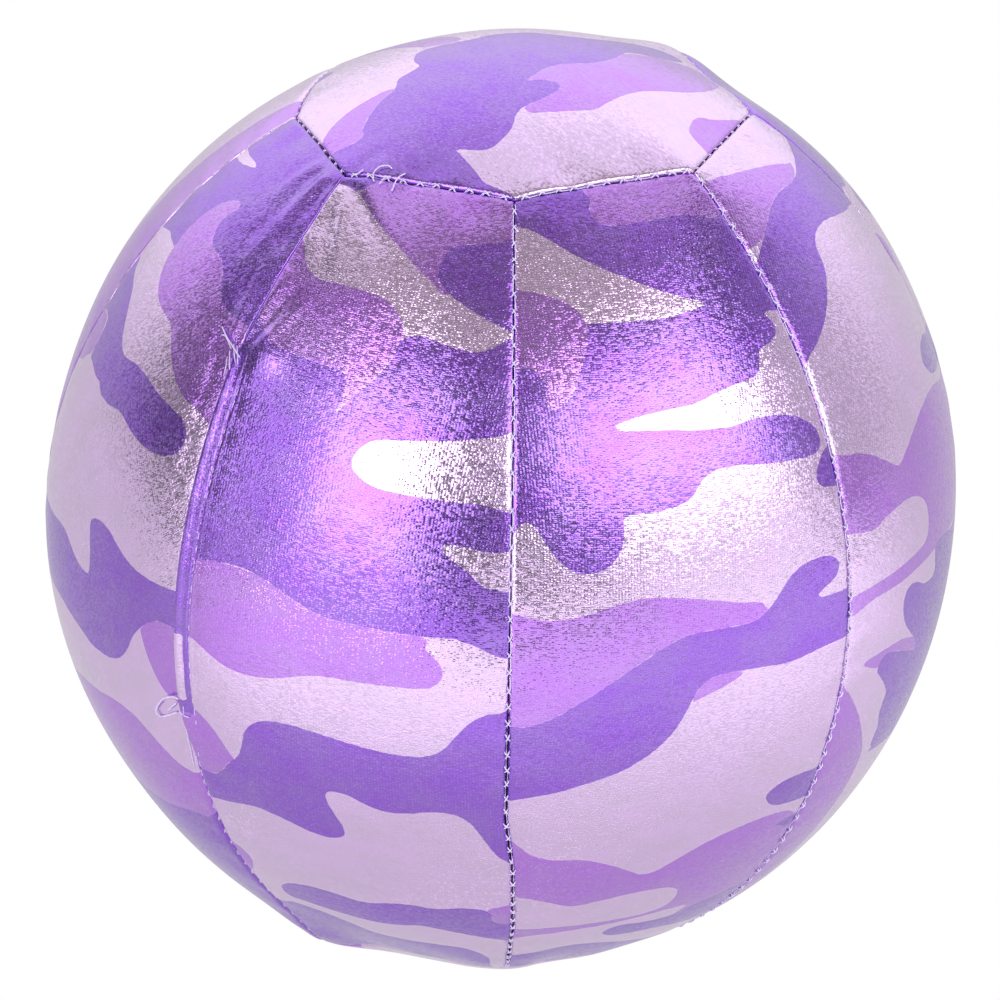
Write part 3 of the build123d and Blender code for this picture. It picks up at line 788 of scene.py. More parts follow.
def pucker(wave, away, height, distance, spread):
    """Waves of a given height that the stitches draw into the cloth near a seam."""
    return height * wave * np.exp(-((away - distance) / spread) ** 2)


def puckers(azimuth, latitude, from_sides, from_ends, number):
    """Puckers along all edges of a gore."""
    side_wave = uneven_wave(latitude, 1.1, 2.1 * number, 1.3, 0.23)
    end_wave = uneven_wave(np.radians(azimuth), 17, number, 1.2, 5)
    return pucker(side_wave, from_sides, *SIDE_PUCKER) + pucker(end_wave, from_ends, *GORE_END_PUCKER)


def end_panel(name, end, material):
    """One end panel, from its turned-in edge to the pole."""
    per_edge = int(END_SIDE / PITCH)
    columns = GORES * per_edge
    edges = np.repeat([end_edge(number)[::-1] for number in range(GORES)], per_edge, axis=0)
    inner_rows = int(END_DEPTH / PITCH)
    azimuth, border = [], []
    for number in range(GORES):
        corner = TOP_CORNER if end > 0 else BOTTOM_CORNER
        left, right = (float(seam_azimuth(number + side, corner)) for side in (0, 1))
        part = left + (right - left) * np.arange(per_edge) / per_edge
        azimuth.append(part)
        border.append(end_latitude(number, end, part))
    azimuth, border = np.concatenate(azimuth), np.abs(np.concatenate(border))
    edge_rows = border[None] + edges[..., 0].T / MM_PER_DEGREE
    share = (np.arange(inner_rows + 1) + 1) / (inner_rows + 1)
    inner = edge_rows[-1] + share[:, None] * (90 - edge_rows[-1])[None]
    latitude = np.concatenate([edge_rows, inner]) * end
    height = np.concatenate([edges[..., 1].T, np.zeros((inner_rows + 1, columns))])
    azimuth = np.broadcast_to(azimuth, latitude.shape)
    inland = np.clip((np.abs(latitude) - border) * MM_PER_DEGREE, 0, None)
    wave = uneven_wave(np.radians(azimuth), 16, 0, 1.7, 3)
    height = height + END_PUFF * (1 - np.exp(-inland / PUFF_REACH))
    height = height + pucker(wave, inland, *END_PANEL_PUCKER)
    if end < 0:
        azimuth, latitude, height = azimuth[:, ::-1], latitude[:, ::-1], height[:, ::-1]
    outer = cover(azimuth, latitude, height)
    fields = end_fields(outer, end)
    knit = knit_place(outer[..., :2], END_KNIT_TURN, END_LAYER + end)
    piece = cloth_shell(name, outer, knit, fields, material, wrap=True)
    weld(piece)
    return piece


def weld(piece):
    """Joins a mesh's coinciding points, as at the pole."""
    work = bmesh.new()
    work.from_mesh(piece.data)
    bmesh.ops.remove_doubles(work, verts=work.verts, dist=1e-7)
    work.to_mesh(piece.data)
    work.free()


# ---------------------------------------------------------------- stitching

# How large the stitches show, by seam and by the top panel's edges; the others lie deep
SEAM_BOLDNESS, OTHER_SEAM = {0: 1.0, 1: 1.1, 7: 0.7}, 0.5
END_BOLDNESS, OTHER_END = {0: 1.2, 1: 0.8, 6: 0.8, 7: 1.1}, 0.7
KNOT_LIFT, DEEP_LIFT = 0.16, -0.4  # mm, of the knots' ends over the cover
KNOT_ALONG, KNOT_ACROSS = (0.6, 1.1), (0.4, 0.75)  # mm, least and most half lengths
KNOT_ARCH, KNOT_TUCK = 0.14, 0.34  # mm, of its middle up and its ends down
KNOT_POINTS, LOOP_POINTS, STRAND_POINTS = 7, 9, 6
THICKNESS_SPREAD = (0.9, 1.1)  # of a knot's threads, least and most
STITCH_SHIFT = 0.25  # mm, at most, of a stitch along the seam
LOOP_LENGTH = 0.92  # of the stitch
LOOP_THREAD = 0.85  # of the thread's radius
LOOP_SINK, RAISED_SINK = 0.6, 0.22  # mm, of the thread between two knots, deep or on top
LOOP_SAG, LOOP_ASIDE = 0.4, 0.15  # mm further down and to the side
NOWHERE = 90  # a latitude over every seam
RAISED_FROM = {0: 0, 1: -60}  # the latitude over which each seam's thread lies on top
RAISED_END = 0  # the top panel's edge whose thread lies on top
SEAM_SEED, END_SEED, END_SEED_STEP = 40, 60, 10
SEAM_START, SEAM_MARGIN = 0.6, 0.4  # degrees that the stitches end short of the corners
SEAM_STEP, END_STEPS = 0.1, 300  # degrees of latitude, and points along an end panel's edge
TOPSTITCH_START = 0.6  # mm from the seam, where the hem's stitching begins
TOPSTITCH_STEP, TOPSTITCH_MARGIN = 0.05, 0.5  # degrees of latitude
TOPSTITCH_PITCH, TOPSTITCH_LENGTH = 0.75, 0.66  # of STITCH, and of that pitch
TOPSTITCH_RISE, TOPSTITCH_THREAD = 0.2, 0.65  # mm out of the groove, and of THREAD


def knot(place, along, across, up, rng, size=1.0, lift=KNOT_LIFT):
    """Two threads that cross over the crevice of a seam, one stitch's knot."""
    parts = []
    for lean in (1, -1):
        reach_along = size * rng.uniform(*KNOT_ALONG)
        reach_across = size * rng.uniform(*KNOT_ACROSS)
        path = []
        for t in np.linspace(-1, 1, KNOT_POINTS):
            rise = lift + KNOT_ARCH * (1 - t * t) * (1 + 0.5 * lean) - KNOT_TUCK * t * t
            path.append(place + along * (reach_along * t * lean) + across * (reach_across * t) + up * rise)
        parts.append(tube(path, THREAD * size * rng.uniform(*THICKNESS_SPREAD)))
    return parts


def seam_frames(azimuths, latitudes):
    """Places on a seam with their directions: along, across and up."""
    places = cover(azimuths, latitudes)
    up = ellipsoid_normal(ellipsoid(azimuths, latitudes))
    along = np.gradient(places, axis=0)
    along /= np.linalg.norm(along, axis=1, keepdims=True)
    across = np.cross(along, up)
    return places, along, across, up


def stitch_line(azimuths, latitudes, seed, size=1.0, skip=None, raised_from=NOWHERE):
    """Stitches along a seam: a knot every stitch, and the thread that runs on between them.

    That thread lies on top over the latitude raised_from, and down in the crevice elsewhere.
    Stitches under full size lie deep in a tight seam.
    """
    rng = np.random.default_rng(seed)
    places, along, across, up = seam_frames(azimuths, latitudes)
    length = np.concatenate([[0], np.cumsum(np.linalg.norm(np.diff(places, axis=0), axis=1))])
    count = max(int(round(length[-1] / STITCH)), 1)
    pitch = length[-1] / count
    lift = KNOT_LIFT if size >= 1 else DEEP_LIFT
    parts = []
    for stitch in range(count):
        target = (stitch + 0.5) * pitch + rng.uniform(-STITCH_SHIFT, STITCH_SHIFT)
        i = min(int(np.searchsorted(length, target)), len(places) - 1)
        if skip and skip(latitudes[i]):
            continue
        parts += knot(places[i], along[i], across[i], up[i], rng, size, lift)
        side = 1 if rng.uniform() < 0.5 else -1
        span = np.flatnonzero((length >= target) & (length < target + LOOP_LENGTH * pitch))
        if len(span) > LOOP_POINTS:
            path = []
            for share in np.linspace(0, 1, LOOP_POINTS):
                k = span[int(share * (len(span) - 1))]
                bow = math.sin(math.pi * share)
                sink = RAISED_SINK if latitudes[k] > raised_from else LOOP_SINK + LOOP_SAG * bow
                aside = LOOP_ASIDE + LOOP_ASIDE * bow
                path.append(places[k] - up[k] * sink + across[k] * side * aside)
            parts.append(tube(path, THREAD * LOOP_THREAD))
    return parts


def seam_thread(number, material):
    """Stitching of one upright seam; the slit's seam is open between the bar tacks."""
    last = corner_latitude(number, 1) - SEAM_MARGIN
    latitudes = np.arange(BOTTOM_CORNER + SEAM_START, last, SEAM_STEP)
    azimuths = seam_azimuth(number, latitudes)
    skip = None
    if number == 7:
        def skip(latitude):
            return latitude > HEM_FADE_BOTTOM
    size = SEAM_BOLDNESS.get(number, OTHER_SEAM)
    raised_from = RAISED_FROM.get(number, NOWHERE)
    stitches = stitch_line(azimuths, latitudes, SEAM_SEED + number, size, skip, raised_from)
    points, faces = join(stitches)
    return mesh_piece(f"seam_thread_{number + 1}_stitches", points, faces, material)


def end_thread(name, end, material):
    """Stitching round one end panel."""
    parts = []
    for number in range(GORES):
        corner = TOP_CORNER if end > 0 else BOTTOM_CORNER
        left, right = (float(seam_azimuth(number + side, corner)) for side in (0, 1))
        azimuths = np.linspace(left + SEAM_MARGIN, right - SEAM_MARGIN, END_STEPS)
        latitudes = end_latitude(number, end, azimuths)
        size = END_BOLDNESS.get(number, OTHER_END) if end > 0 else OTHER_END
        raised_from = 0 if number == RAISED_END else NOWHERE
        seed = END_SEED + number + END_SEED_STEP * end
        parts += stitch_line(azimuths, latitudes, seed, size, None, raised_from)
    points, faces = join(parts)
    return mesh_piece(name, points, faces, material)


def surface_path(points):
    """Smooth path through (azimuth, latitude, height over the cover)."""
    azimuths, latitudes, heights = np.array(points, float).T
    p = cover(azimuths, latitudes, heights)
    fine = []
    for i in range(len(p) - 1):
        ends = (p[max(i - 1, 0)], p[i], p[i + 1], p[min(i + 2, len(p) - 1)])
        fine += [bend(*ends, t) for t in np.linspace(0, 1, STRAND_POINTS + 1)[:-1]]
    fine.append(p[-1])
    return np.array(fine)


def thread_piece(name, strands, material):
    """Piece made of several thread strands: (radius, points)."""
    points, faces = join([tube(surface_path(places), radius) for radius, places in strands])
    return mesh_piece(name, points, faces, material)


def hem_topstitch(material):
    """Row of short stitches in the groove of the lip's hem."""
    first, last = HEM_FADE_BOTTOM + TOPSTITCH_MARGIN, SLIT_TOP - TOPSTITCH_MARGIN
    latitudes = np.arange(first, last, TOPSTITCH_STEP)
    per_mm = np.degrees(1 / (EQUATOR * np.cos(np.radians(latitudes))))
    reach = TOPSTITCH_START + (TOPSTITCH - TOPSTITCH_START) * slit_share(latitudes)
    azimuths = seam_azimuth(7, latitudes) + reach * per_mm
    share = np.linspace(0, 1, KNOT_POINTS)
    height = TOPSTITCH_RISE * np.sin(math.pi * share) - TOPSTITCH_RISE
    parts = []
    step = int(STITCH * TOPSTITCH_PITCH / MM_PER_DEGREE / TOPSTITCH_STEP)
    for start in range(0, len(latitudes) - step, step):
        chosen = start + (share * step * TOPSTITCH_LENGTH).astype(int)
        path = cover(azimuths[chosen], latitudes[chosen], height)
        parts.append(tube(path, THREAD * TOPSTITCH_THREAD))
    points, faces = join(parts)
    return mesh_piece("lip_topstitch_stitches", points, faces, material)


# ---------------------------------------------------------------- materials


class Nodes:
    """Short hand for building a node tree."""

    def __init__(self, tree):
        self.tree = tree
        tree.nodes.clear()

    def add(self, kind, inputs=None, **settings):
        node = self.tree.nodes.new(kind)
        for key, value in settings.items():
            setattr(node, key, value)
        for key, value in (inputs or {}).items():
            if isinstance(value, bpy.types.NodeSocket):
                self.tree.links.new(value, node.inputs[key])
            else:
                node.inputs[key].default_value = value
        return node

    def math(self, operation, a, b=0.0, c=0.0):
        return self.add("ShaderNodeMath", {0: a, 1: b, 2: c}, operation=operation).outputs[0]

    def vector(self, operation, a, b):
        return self.add("ShaderNodeVectorMath", {0: a, 1: b}, operation=operation).outputs[0]

    def dot(self, a, b):
        node = self.add("ShaderNodeVectorMath", {0: a, 1: b}, operation="DOT_PRODUCT")
        return node.outputs["Value"]

    def attribute(self, name, output="Fac"):
        return self.add("ShaderNodeAttribute", attribute_name=name).outputs[output]

    def noise(self, place, scale, detail, roughness=0.5):
        inputs = {"Vector": place, "Scale": scale, "Detail": detail, "Roughness": roughness}
        return self.add("ShaderNodeTexNoise", inputs).outputs["Fac"]

    def mix(self, factor, a, b):
        node = self.add("ShaderNodeMix", {0: factor, 6: a, 7: b}, data_type="RGBA")
        return node.outputs[2]

    def ramp(self, value, low, high, to_low=0.0, to_high=1.0):
        node = self.add(
            "ShaderNodeMapRange",
            {"Value": value, "From Min": low, "From Max": high, "To Min": to_low, "To Max": to_high},
            interpolation_type="SMOOTHSTEP",
        )
        return node.outputs["Result"]


def srgb(red, green, blue):
    """Linear colour from 0-255 screen values."""
    def linear(value):
        value /= 255
        return value / 12.92 if value <= 0.04045 else ((value + 0.055) / 1.055) ** 2.4
    return (linear(red), linear(green), linear(blue), 1.0)


FOIL_SILVER = srgb(229, 199, 243)
FOIL_LILAC = srgb(192, 136, 234)
FOIL_PURPLE = srgb(156, 108, 217)
BACKING = srgb(226, 222, 230)
EDGE_SOFTNESS = 0.13  # mm, of the print's edges
DOME_HEIGHT = 0.03  # mm, of a loop
LOOP_TILT = 0.1  # mm, from a loop's one side to the other, at most
CRUMPLE_HEIGHT = 0.05  # mm
CRUMPLE_SCALE, PATCH_SCALE = 0.3, 0.05  # bumps for each loop
DOME_END = 0.62  # loops from its middle
LOOP_UNEVENNESS = 0.4
PRINT_WANDER = 0.5  # mm, of the print's edges to and fro
SATURATION, BRIGHTNESS = (0.95, 1.06), (0.96, 1.04)  # of the print, least and most
PAINTED_GLINT_COLOUR, PAINTED_GLINT = (0.93, 0.86, 1.0, 1.0), 0.15  # colour of the painted glint on the loops' tips, and how strong it is at most
METALLIC = 0.95
FOIL_ROUGHNESS, BACKING_ROUGHNESS = (0.12, 0.24), 0.9
COAT, COAT_ROUGHNESS = 0.3, 0.22
FIBRE_BUMP, FIBRE_DEPTH = 0.5, 0.00005  # strength and metres
FIBRE_SHADE = 0.8  # painted shade: how much darker the colour is between the strands
RUBBER_BUMP, RUBBER_DEPTH = 0.35, 0.0001  # strength and metres
GRAIN_SCALE = 30  # of the fine grain, against the mottling
ROUGHNESS_SPREAD = 0.08


def new_material(name):
    """Empty node material."""
    material = bpy.data.materials.new(name)
    material.use_nodes = True
    return material, Nodes(material.node_tree)


def finish_material(nodes, surface):
    """Connects the shader to the output."""
    nodes.add("ShaderNodeOutputMaterial", {"Surface": surface})


def foil_cloth():
    """Knitted cloth with a metallic foil, printed in three tones."""
    material, n = new_material("foil_cloth")
    knit = n.attribute("knit", "Vector")
    lilac, purple, inside = (n.attribute(name) for name in ("lilac", "purple", "inside"))
    # Loops in rows, each a small dome with its own tilt
    loops = {"Vector": knit, "Scale": 1.0, "Randomness": LOOP_UNEVENNESS}
    dots = n.add("ShaderNodeTexVoronoi", loops).outputs
    from_centre = n.vector("SUBTRACT", knit, dots["Position"])
    lean = n.vector("SUBTRACT", dots["Color"], (0.5, 0.5, 0.5))
    tilt = n.dot(from_centre, lean)
    dome = n.ramp(dots["Distance"], 0.0, DOME_END, 1.0, 0.0)
    glint = n.add("ShaderNodeSeparateColor", {0: dots["Color"]}).outputs[0]
    crumple = n.noise(knit, CRUMPLE_SCALE, 2.0)
    patches = n.noise(knit, PATCH_SCALE, 4.0, 0.6)
    # Edges of the print follow the knit
    wander = n.math("MULTIPLY", n.math("SUBTRACT", crumple, 0.5), PRINT_WANDER)
    is_lilac = n.ramp(n.math("ADD", lilac, wander), -EDGE_SOFTNESS, EDGE_SOFTNESS)
    is_purple = n.ramp(n.math("ADD", purple, wander), -EDGE_SOFTNESS, EDGE_SOFTNESS)
    colour = n.mix(is_purple, n.mix(is_lilac, FOIL_SILVER, FOIL_LILAC), FOIL_PURPLE)
    # The print is a little uneven, and the tips of the knit's loops are painted paler, a painted glint
    print_look = {"Color": colour}
    for key, limits in (("Saturation", SATURATION), ("Value", BRIGHTNESS)):
        print_look[key] = n.ramp(patches, 0.3, 0.7, *limits)
    shade = n.add("ShaderNodeHueSaturation", print_look).outputs[0]
    # painted glint: the loops' tips turn paler by a random amount
    painted_glints = n.math("MULTIPLY", dome, n.math("MULTIPLY", glint, PAINTED_GLINT))
    foil = n.mix(painted_glints, shade, PAINTED_GLINT_COLOUR)
    height = n.math("MULTIPLY", dome, DOME_HEIGHT)
    height = n.math("MULTIPLY_ADD", tilt, LOOP_TILT, height)
    height = n.math("MULTIPLY_ADD", crumple, CRUMPLE_HEIGHT, height)
    bump = n.add("ShaderNodeBump", {"Height": height, "Strength": 1.0, "Distance": MM})
    is_inside = n.math("GREATER_THAN", inside, 0.5)
    is_foil = n.math("SUBTRACT", 1.0, is_inside)
    glossy = n.ramp(glint, 0.0, 1.0, *FOIL_ROUGHNESS)
    shader = n.add(
        "ShaderNodeBsdfPrincipled",
        {
            "Base Color": n.mix(is_inside, foil, BACKING),
            "Metallic": n.math("MULTIPLY", is_foil, METALLIC),
            "Roughness": n.math("MAXIMUM", glossy, n.math("MULTIPLY", is_inside, BACKING_ROUGHNESS)),
            "Normal": bump.outputs[0],
            "Coat Weight": COAT,
            "Coat Roughness": COAT_ROUGHNESS,
        },
    )
    finish_material(n, shader.outputs[0])
    return material


def fibre(name, colour, rough, scale, sheen=0.3):
    """Twisted thread, with its strands as fine bands and painted shade between them."""
    material, n = new_material(name)
    place = n.add("ShaderNodeTexCoord").outputs["Object"]
    bands = n.add(
        "ShaderNodeTexWave",
        {"Vector": place, "Scale": scale, "Distortion": 2.5, "Detail": 2.0, "Detail Scale": 3.0},
        bands_direction="DIAGONAL",
    ).outputs["Fac"]
    fuzz = n.noise(place, scale * 2, 4.0)
    # painted shade in the grooves between the strands
    dark = tuple(c * FIBRE_SHADE for c in colour[:3]) + (1.0,)
    tone = n.mix(n.ramp(bands, 0.1, 0.8), dark, colour)
    height = n.math("ADD", bands, fuzz)
    relief_look = {"Height": height, "Strength": FIBRE_BUMP, "Distance": FIBRE_DEPTH}
    bump = n.add("ShaderNodeBump", relief_look)
    shader = n.add(
        "ShaderNodeBsdfPrincipled",
        {"Base Color": tone, "Roughness": rough, "Sheen Weight": sheen, "Normal": bump.outputs[0]},
    )
    finish_material(n, shader.outputs[0])
    return material


def rubber(name, light, dark, rough, scale):
    """Moulded or dipped rubber with faint mottling and a fine skin."""
    material, n = new_material(name)
    place = n.add("ShaderNodeTexCoord").outputs["Object"]
    mottle = n.noise(place, scale, 5.0)
    grain = n.noise(place, scale * GRAIN_SCALE, 3.0)
    tone = n.mix(n.ramp(mottle, 0.35, 0.65), dark, light)
    bump = n.add("ShaderNodeBump", {"Height": grain, "Strength": RUBBER_BUMP, "Distance": RUBBER_DEPTH})
    limits = (rough - ROUGHNESS_SPREAD, rough + ROUGHNESS_SPREAD)
    shader = n.add(
        "ShaderNodeBsdfPrincipled",
        {
            "Base Color": tone,
            "Roughness": n.ramp(mottle, 0.3, 0.7, *limits),
            "Normal": bump.outputs[0],
            "Specular IOR Level": 0.45,
        },
    )
    finish_material(n, shader.outputs[0])
    return material


# ---------------------------------------------------------------- studio

CAMERA_DISTANCE = 1597.0
CAMERA_AZIMUTH = -2.59
CAMERA_ELEVATION = 23.32
CAMERA_ROLL = 1.14
CAMERA_LENS = 226.4
FRAMING = (-0.78, -0.14)  # of the point looked at, right and up of the ball's centre

# Large soft lights in front of the ball:
# (lowest and highest azimuth, lowest and highest elevation, strength)
SOFTBOXES = [
    (-60, -17, -3, 46, 3.1),
    (-79, -70, -2, 42, 2.4),
    (8, 78, 13, 49, 3.0),
    (32, 84, -6, 12, 1.0),
    (82, 125, -12, 34, 0.34),
]
BOX_EDGE = 3.5  # degrees of softness on each side of a box's edge
DARK, CEILING = 0.12, 0.3  # the ceiling is brighter than the dark room below it
CEILING_START, CEILING_FULL = 42, 62
WHITE = (1.0, 1.0, 1.0, 1.0)
CEILING_TINT = (1.0, 0.96, 0.84, 1.0)
BACKDROP_LOW, BACKDROP, BACKDROP_TOP = 0.75, 1.3, 0.9
LEAN_START, LEAN_FULL, LEAN = 45, 58, 26  # the backdrop leans forward by some degrees up there
HAZE_START, HAZE_FULL = -4, 22  # elevations between which the backdrop brightens
BACK_START, BACK_FULL = 98, 145  # azimuths between which the dark room turns into the backdrop
TINT_START = 32  # the elevation from which the ceiling's tint comes in


def aim(azimuth, elevation):
    """Unit vector towards an azimuth and elevation."""
    a, e = math.radians(azimuth), math.radians(elevation)
    return Vector((math.sin(a) * math.cos(e), -math.cos(a) * math.cos(e), math.sin(e)))


def between(n, value, low, high):
    """1 where a value lies between two limits, with soft edges."""
    rising = n.ramp(value, low - BOX_EDGE, low + BOX_EDGE)
    falling = n.ramp(value, high - BOX_EDGE, high + BOX_EDGE, 1.0, 0.0)
    return n.math("MULTIPLY", rising, falling)


def studio_light():
    """Pale backdrop behind the ball, a dark room in front, and large soft lights in it."""
    world = bpy.data.worlds.new("studio")
    bpy.context.scene.world = world
    world.use_nodes = True
    n = Nodes(world.node_tree)
    direction = n.add("ShaderNodeTexCoord").outputs["Generated"]
    parts = n.add("ShaderNodeSeparateXYZ", {0: direction}).outputs
    to_front = n.math("MULTIPLY", parts["Y"], -1.0)
    azimuth = n.math("DEGREES", n.math("ARCTAN2", parts["X"], to_front))
    elevation = n.math("DEGREES", n.math("ARCSINE", parts["Z"]))
    front = n.ramp(elevation, CEILING_START, CEILING_FULL, DARK, CEILING)
    haze = n.ramp(elevation, HAZE_START, HAZE_FULL, BACKDROP_LOW, BACKDROP)
    back = n.ramp(elevation, CEILING_START, CEILING_FULL, haze, BACKDROP_TOP)
    overhead = n.ramp(elevation, LEAN_START, LEAN_FULL, 0.0, LEAN)
    behind = n.ramp(n.math("ADD", n.math("ABSOLUTE", azimuth), overhead), BACK_START, BACK_FULL)
    room = n.math("MULTIPLY_ADD", behind, n.math("SUBTRACT", back, front), front)
    for left, right, low, high, strength in SOFTBOXES:
        box = n.math("MULTIPLY", between(n, azimuth, left, right), between(n, elevation, low, high))
        room = n.math("MULTIPLY_ADD", box, strength, room)
    seen = n.add("ShaderNodeLightPath").outputs["Is Camera Ray"]
    warmth = n.ramp(elevation, TINT_START, CEILING_FULL)
    tint = n.mix(n.math("MULTIPLY", warmth, n.math("SUBTRACT", 1.0, behind)), WHITE, CEILING_TINT)
    lit = n.add("ShaderNodeBackground", {"Strength": room, "Color": tint})
    plain = n.add("ShaderNodeBackground", {"Strength": 1.0, "Color": WHITE})
    mixed = n.add("ShaderNodeMixShader", {0: seen, 1: lit.outputs[0], 2: plain.outputs[0]})
    n.add("ShaderNodeOutputWorld", {"Surface": mixed.outputs[0]})


FLOOR_SIZE = 6000.0
SHADE_RADIUS, LIT_RADIUS = 70.0, 400.0  # painted shadow: the floor's glow darkens under the ball
TABLE_START, TABLE_END = 900.0, 1700.0  # in front the floor's painted light ends between these distances
SHADED_GLOW, BACK_GLOW, FRONT_GLOW, FAR_GLOW = 0.68, 0.66, 1.28, 0.25
BRIGHT_AZIMUTH = 12  # the side towards which the floor's glow is painted brighter, as if the softboxes lit it
DULL_REACH, BRIGHT_REACH = -120.0, 260.0  # towards that side, where the painted light is dull and full
FLOOR_LEVEL = -0.05  # just under the ball
GRAIN_GLOW = 0.02


def floor():
    """Plain white floor that glows, like a lit table, with a painted shadow under the ball and painted light
    towards the softboxes; the camera sees it plain white.
    """
    material, n = new_material("floor")
    place = n.add("ShaderNodeTexCoord").outputs["Object"]
    distance = n.add("ShaderNodeVectorMath", {0: place}, operation="LENGTH").outputs["Value"]
    bright_side = tuple(aim(BRIGHT_AZIMUTH, 0))
    towards = n.dot(place, bright_side)
    # painted light: the glow is brighter towards the softboxes' side
    lit_glow = n.ramp(towards, DULL_REACH * MM, BRIGHT_REACH * MM, BACK_GLOW, FRONT_GLOW)
    far_glow = n.ramp(towards, DULL_REACH * MM, BRIGHT_REACH * MM, BACK_GLOW, FAR_GLOW)
    # painted shadow: the glow is darker under the ball
    glow = n.ramp(distance, SHADE_RADIUS * MM, LIT_RADIUS * MM, SHADED_GLOW, lit_glow)
    glow = n.ramp(distance, TABLE_START * MM, TABLE_END * MM, glow, far_glow)
    grain = n.add("ShaderNodeTexNoise", {"Scale": 40.0, "Detail": 2.0}).outputs["Fac"]
    glow = n.math("MULTIPLY_ADD", grain, GRAIN_GLOW, glow)
    seen = n.add("ShaderNodeLightPath").outputs["Is Camera Ray"]
    lit = n.add("ShaderNodeEmission", {"Strength": glow})
    plain = n.add("ShaderNodeEmission", {"Strength": 1.0})
    mixed = n.add("ShaderNodeMixShader", {0: seen, 1: lit.outputs[0], 2: plain.outputs[0]})
    finish_material(n, mixed.outputs[0])
    half = FLOOR_SIZE / 2
    corners = [(x, y, FLOOR_LEVEL) for x, y in ((-half, -half), (half, -half), (half, half), (-half, half))]
    mesh_piece("floor", corners, [(0, 1, 2, 3)], material)


def camera():
    """Camera a little left of the front and above the ball."""
    data = bpy.data.cameras.new("camera")
    data.sensor_width = 36.0
    data.lens = CAMERA_LENS
    data.clip_start, data.clip_end = 0.05, 50.0
    piece = bpy.data.objects.new("camera", data)
    bpy.context.scene.collection.objects.link(piece)
    back = aim(CAMERA_AZIMUTH, CAMERA_ELEVATION)
    right = Vector((-back.y, back.x, 0)).normalized()
    up = back.cross(right)
    roll = math.radians(CAMERA_ROLL)
    tilted_right = right * math.cos(roll) + up * math.sin(roll)
    tilted_up = up * math.cos(roll) - right * math.sin(roll)
    target = Vector(CENTRE) + right * FRAMING[0] + up * FRAMING[1]
    turn = Matrix((tilted_right, tilted_up, back)).transposed().to_4x4()
    piece.matrix_world = Matrix.Translation((target + back * CAMERA_DISTANCE) * MM) @ turn
    bpy.context.scene.camera = piece


# ---------------------------------------------------------------- assembly

# Thread strands: (radius, points), each point an (azimuth, latitude, height over the cover)
UPPER_BARTACK = [
    (0.19, [(-50.4, 36.2, 0.3), (-49.2, 35.8, 0.7), (-48.0, 35.3, 0.9), (-46.0, 34.5, 1.0),
            (-43.9, 33.6, 0.8)]),
    (0.17, [(-49.8, 35.3, 0.3), (-48.9, 35.4, 0.5), (-47.9, 35.1, 0.7), (-46.2, 34.2, 0.9)]),
    (0.13, [(-46.4, 34.9, 0.5), (-45.4, 33.9, 0.9), (-44.6, 32.9, 0.6)]),
    (0.13, [(-46.7, 34.0, 0.5), (-45.8, 33.0, 0.9), (-45.2, 31.9, 0.6)]),
    (0.12, [(-45.6, 34.8, 0.6), (-44.8, 34.1, 0.9), (-44.1, 32.8, 0.5)]),
    (0.12, [(-46.6, 33.2, 0.5), (-46.0, 32.2, 0.9), (-45.9, 31.0, 0.6)]),
]
LOWER_BARTACK = [
    (0.26, [(-45.6, -8.8, 0.8), (-46.8, -8.9, 0.9), (-48.5, -9.8, 0.9), (-49.9, -11.2, 0.8),
            (-50.6, -12.3, 0.7), (-50.0, -12.9, 0.6), (-48.0, -11.9, 0.5), (-46.4, -11.0, 0.5)]),
    (0.22, [(-46.2, -9.6, 0.7), (-47.2, -10.5, 0.8), (-48.2, -11.4, 0.6)]),
    (0.13, [(-45.0, -9.6, 0.6), (-45.4, -11.8, 0.3), (-45.5, -14.3, 0.2), (-45.6, -16.9, 0.2),
            (-45.9, -19.5, 0.1)]),
    (0.14, [(-46.0, -10.6, 0.5), (-45.3, -11.0, 0.6), (-44.4, -11.1, 0.3)]),
]
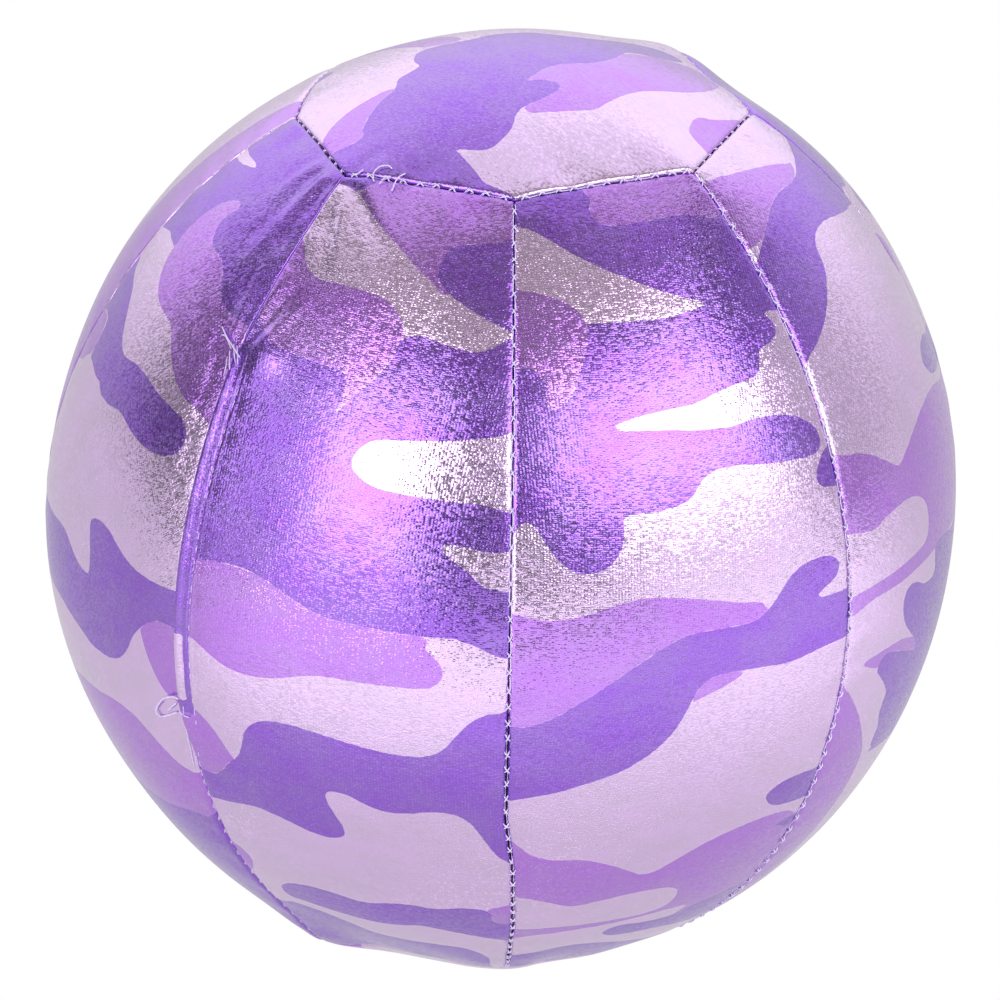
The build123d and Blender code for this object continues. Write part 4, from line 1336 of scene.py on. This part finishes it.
LOOSE_ENDS = [
    (0.19, [(-36.3, 59.4, 0.3), (-37.6, 60.4, 0.7), (-37.4, 61.6, 0.8), (-35.6, 62.2, 0.7),
            (-34.2, 62.0, 0.4)]),
    (0.19, [(-31.0, 58.9, 0.3), (-31.2, 60.0, 0.7), (-31.0, 61.0, 0.8), (-30.2, 61.9, 0.4)]),
    (0.17, [(-34.8, 59.3, 0.3), (-34.4, 60.4, 0.6), (-33.4, 60.9, 0.4)]),
    (0.19, [(-41.8, 59.6, 0.3), (-41.0, 60.6, 0.5)]),
]


def build_cover(foil, thread):
    """Cloth panels and stitches, each on the ball's body but for gore 8 and the hem's topstitch, which are
    left unparented.
    """
    for number in range(GORES):
        piece = seam_thread(number, thread)
        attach(piece, "ball")
        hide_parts(f"seam_thread_{number + 1}")
    for name, end in (("top_cap", 1), ("bottom_cap", -1)):
        panel = end_panel(f"{name}_panel_cloth", end, foil)
        piece = end_thread(f"{name}_thread_stitches", end, thread)
        for item, node in ((panel, f"{name}_panel"), (piece, f"{name}_thread")):
            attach(item, "ball")
            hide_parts(node)
    for number in range(1, GORES + 1):
        opened = {7: (None, UNDER_EDGE), 8: (HEM_EDGE, None)}.get(number, (None, None))
        panel = gore_panel(number, foil, *opened)
        if number == 8:
            topstitch = hem_topstitch(thread)
            for piece in (panel, topstitch):
                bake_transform(piece)
            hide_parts("gore_panel_8", "slit_lip")
            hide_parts("lip_topstitch")
        else:
            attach(panel, "ball")
            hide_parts(f"gore_panel_{number}")
    for name, strands, node in (
        ("upper_bartack_threads", UPPER_BARTACK, "upper_bartack"),
        ("lower_bartack_threads", LOWER_BARTACK, "lower_bartack"),
        ("loose_thread_ends", LOOSE_ENDS, None),
    ):
        piece = thread_piece(name, strands, thread)
        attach(piece, "ball")
        if node:
            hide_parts(node)


def give(node, material):
    """New material for a CAD node that stays."""
    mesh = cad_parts[node].data
    mesh.materials.clear()
    mesh.materials.append(material)


scene = bpy.context.scene
scene.view_settings.view_transform = "Standard"
camera()
build_cover(foil_cloth(), fibre("sewing_thread", srgb(222, 208, 246), 0.5, 900.0))
give("bladder", rubber("bladder_skin", srgb(62, 56, 66), srgb(46, 42, 50), 0.45, 60.0))
give("valve_boot", rubber("valve_rubber", srgb(84, 78, 86), srgb(66, 61, 68), 0.55, 90.0))
give("valve_insert", rubber("insert_rubber", srgb(222, 216, 206), srgb(202, 194, 182), 0.5, 120.0))
studio_light()
floor()
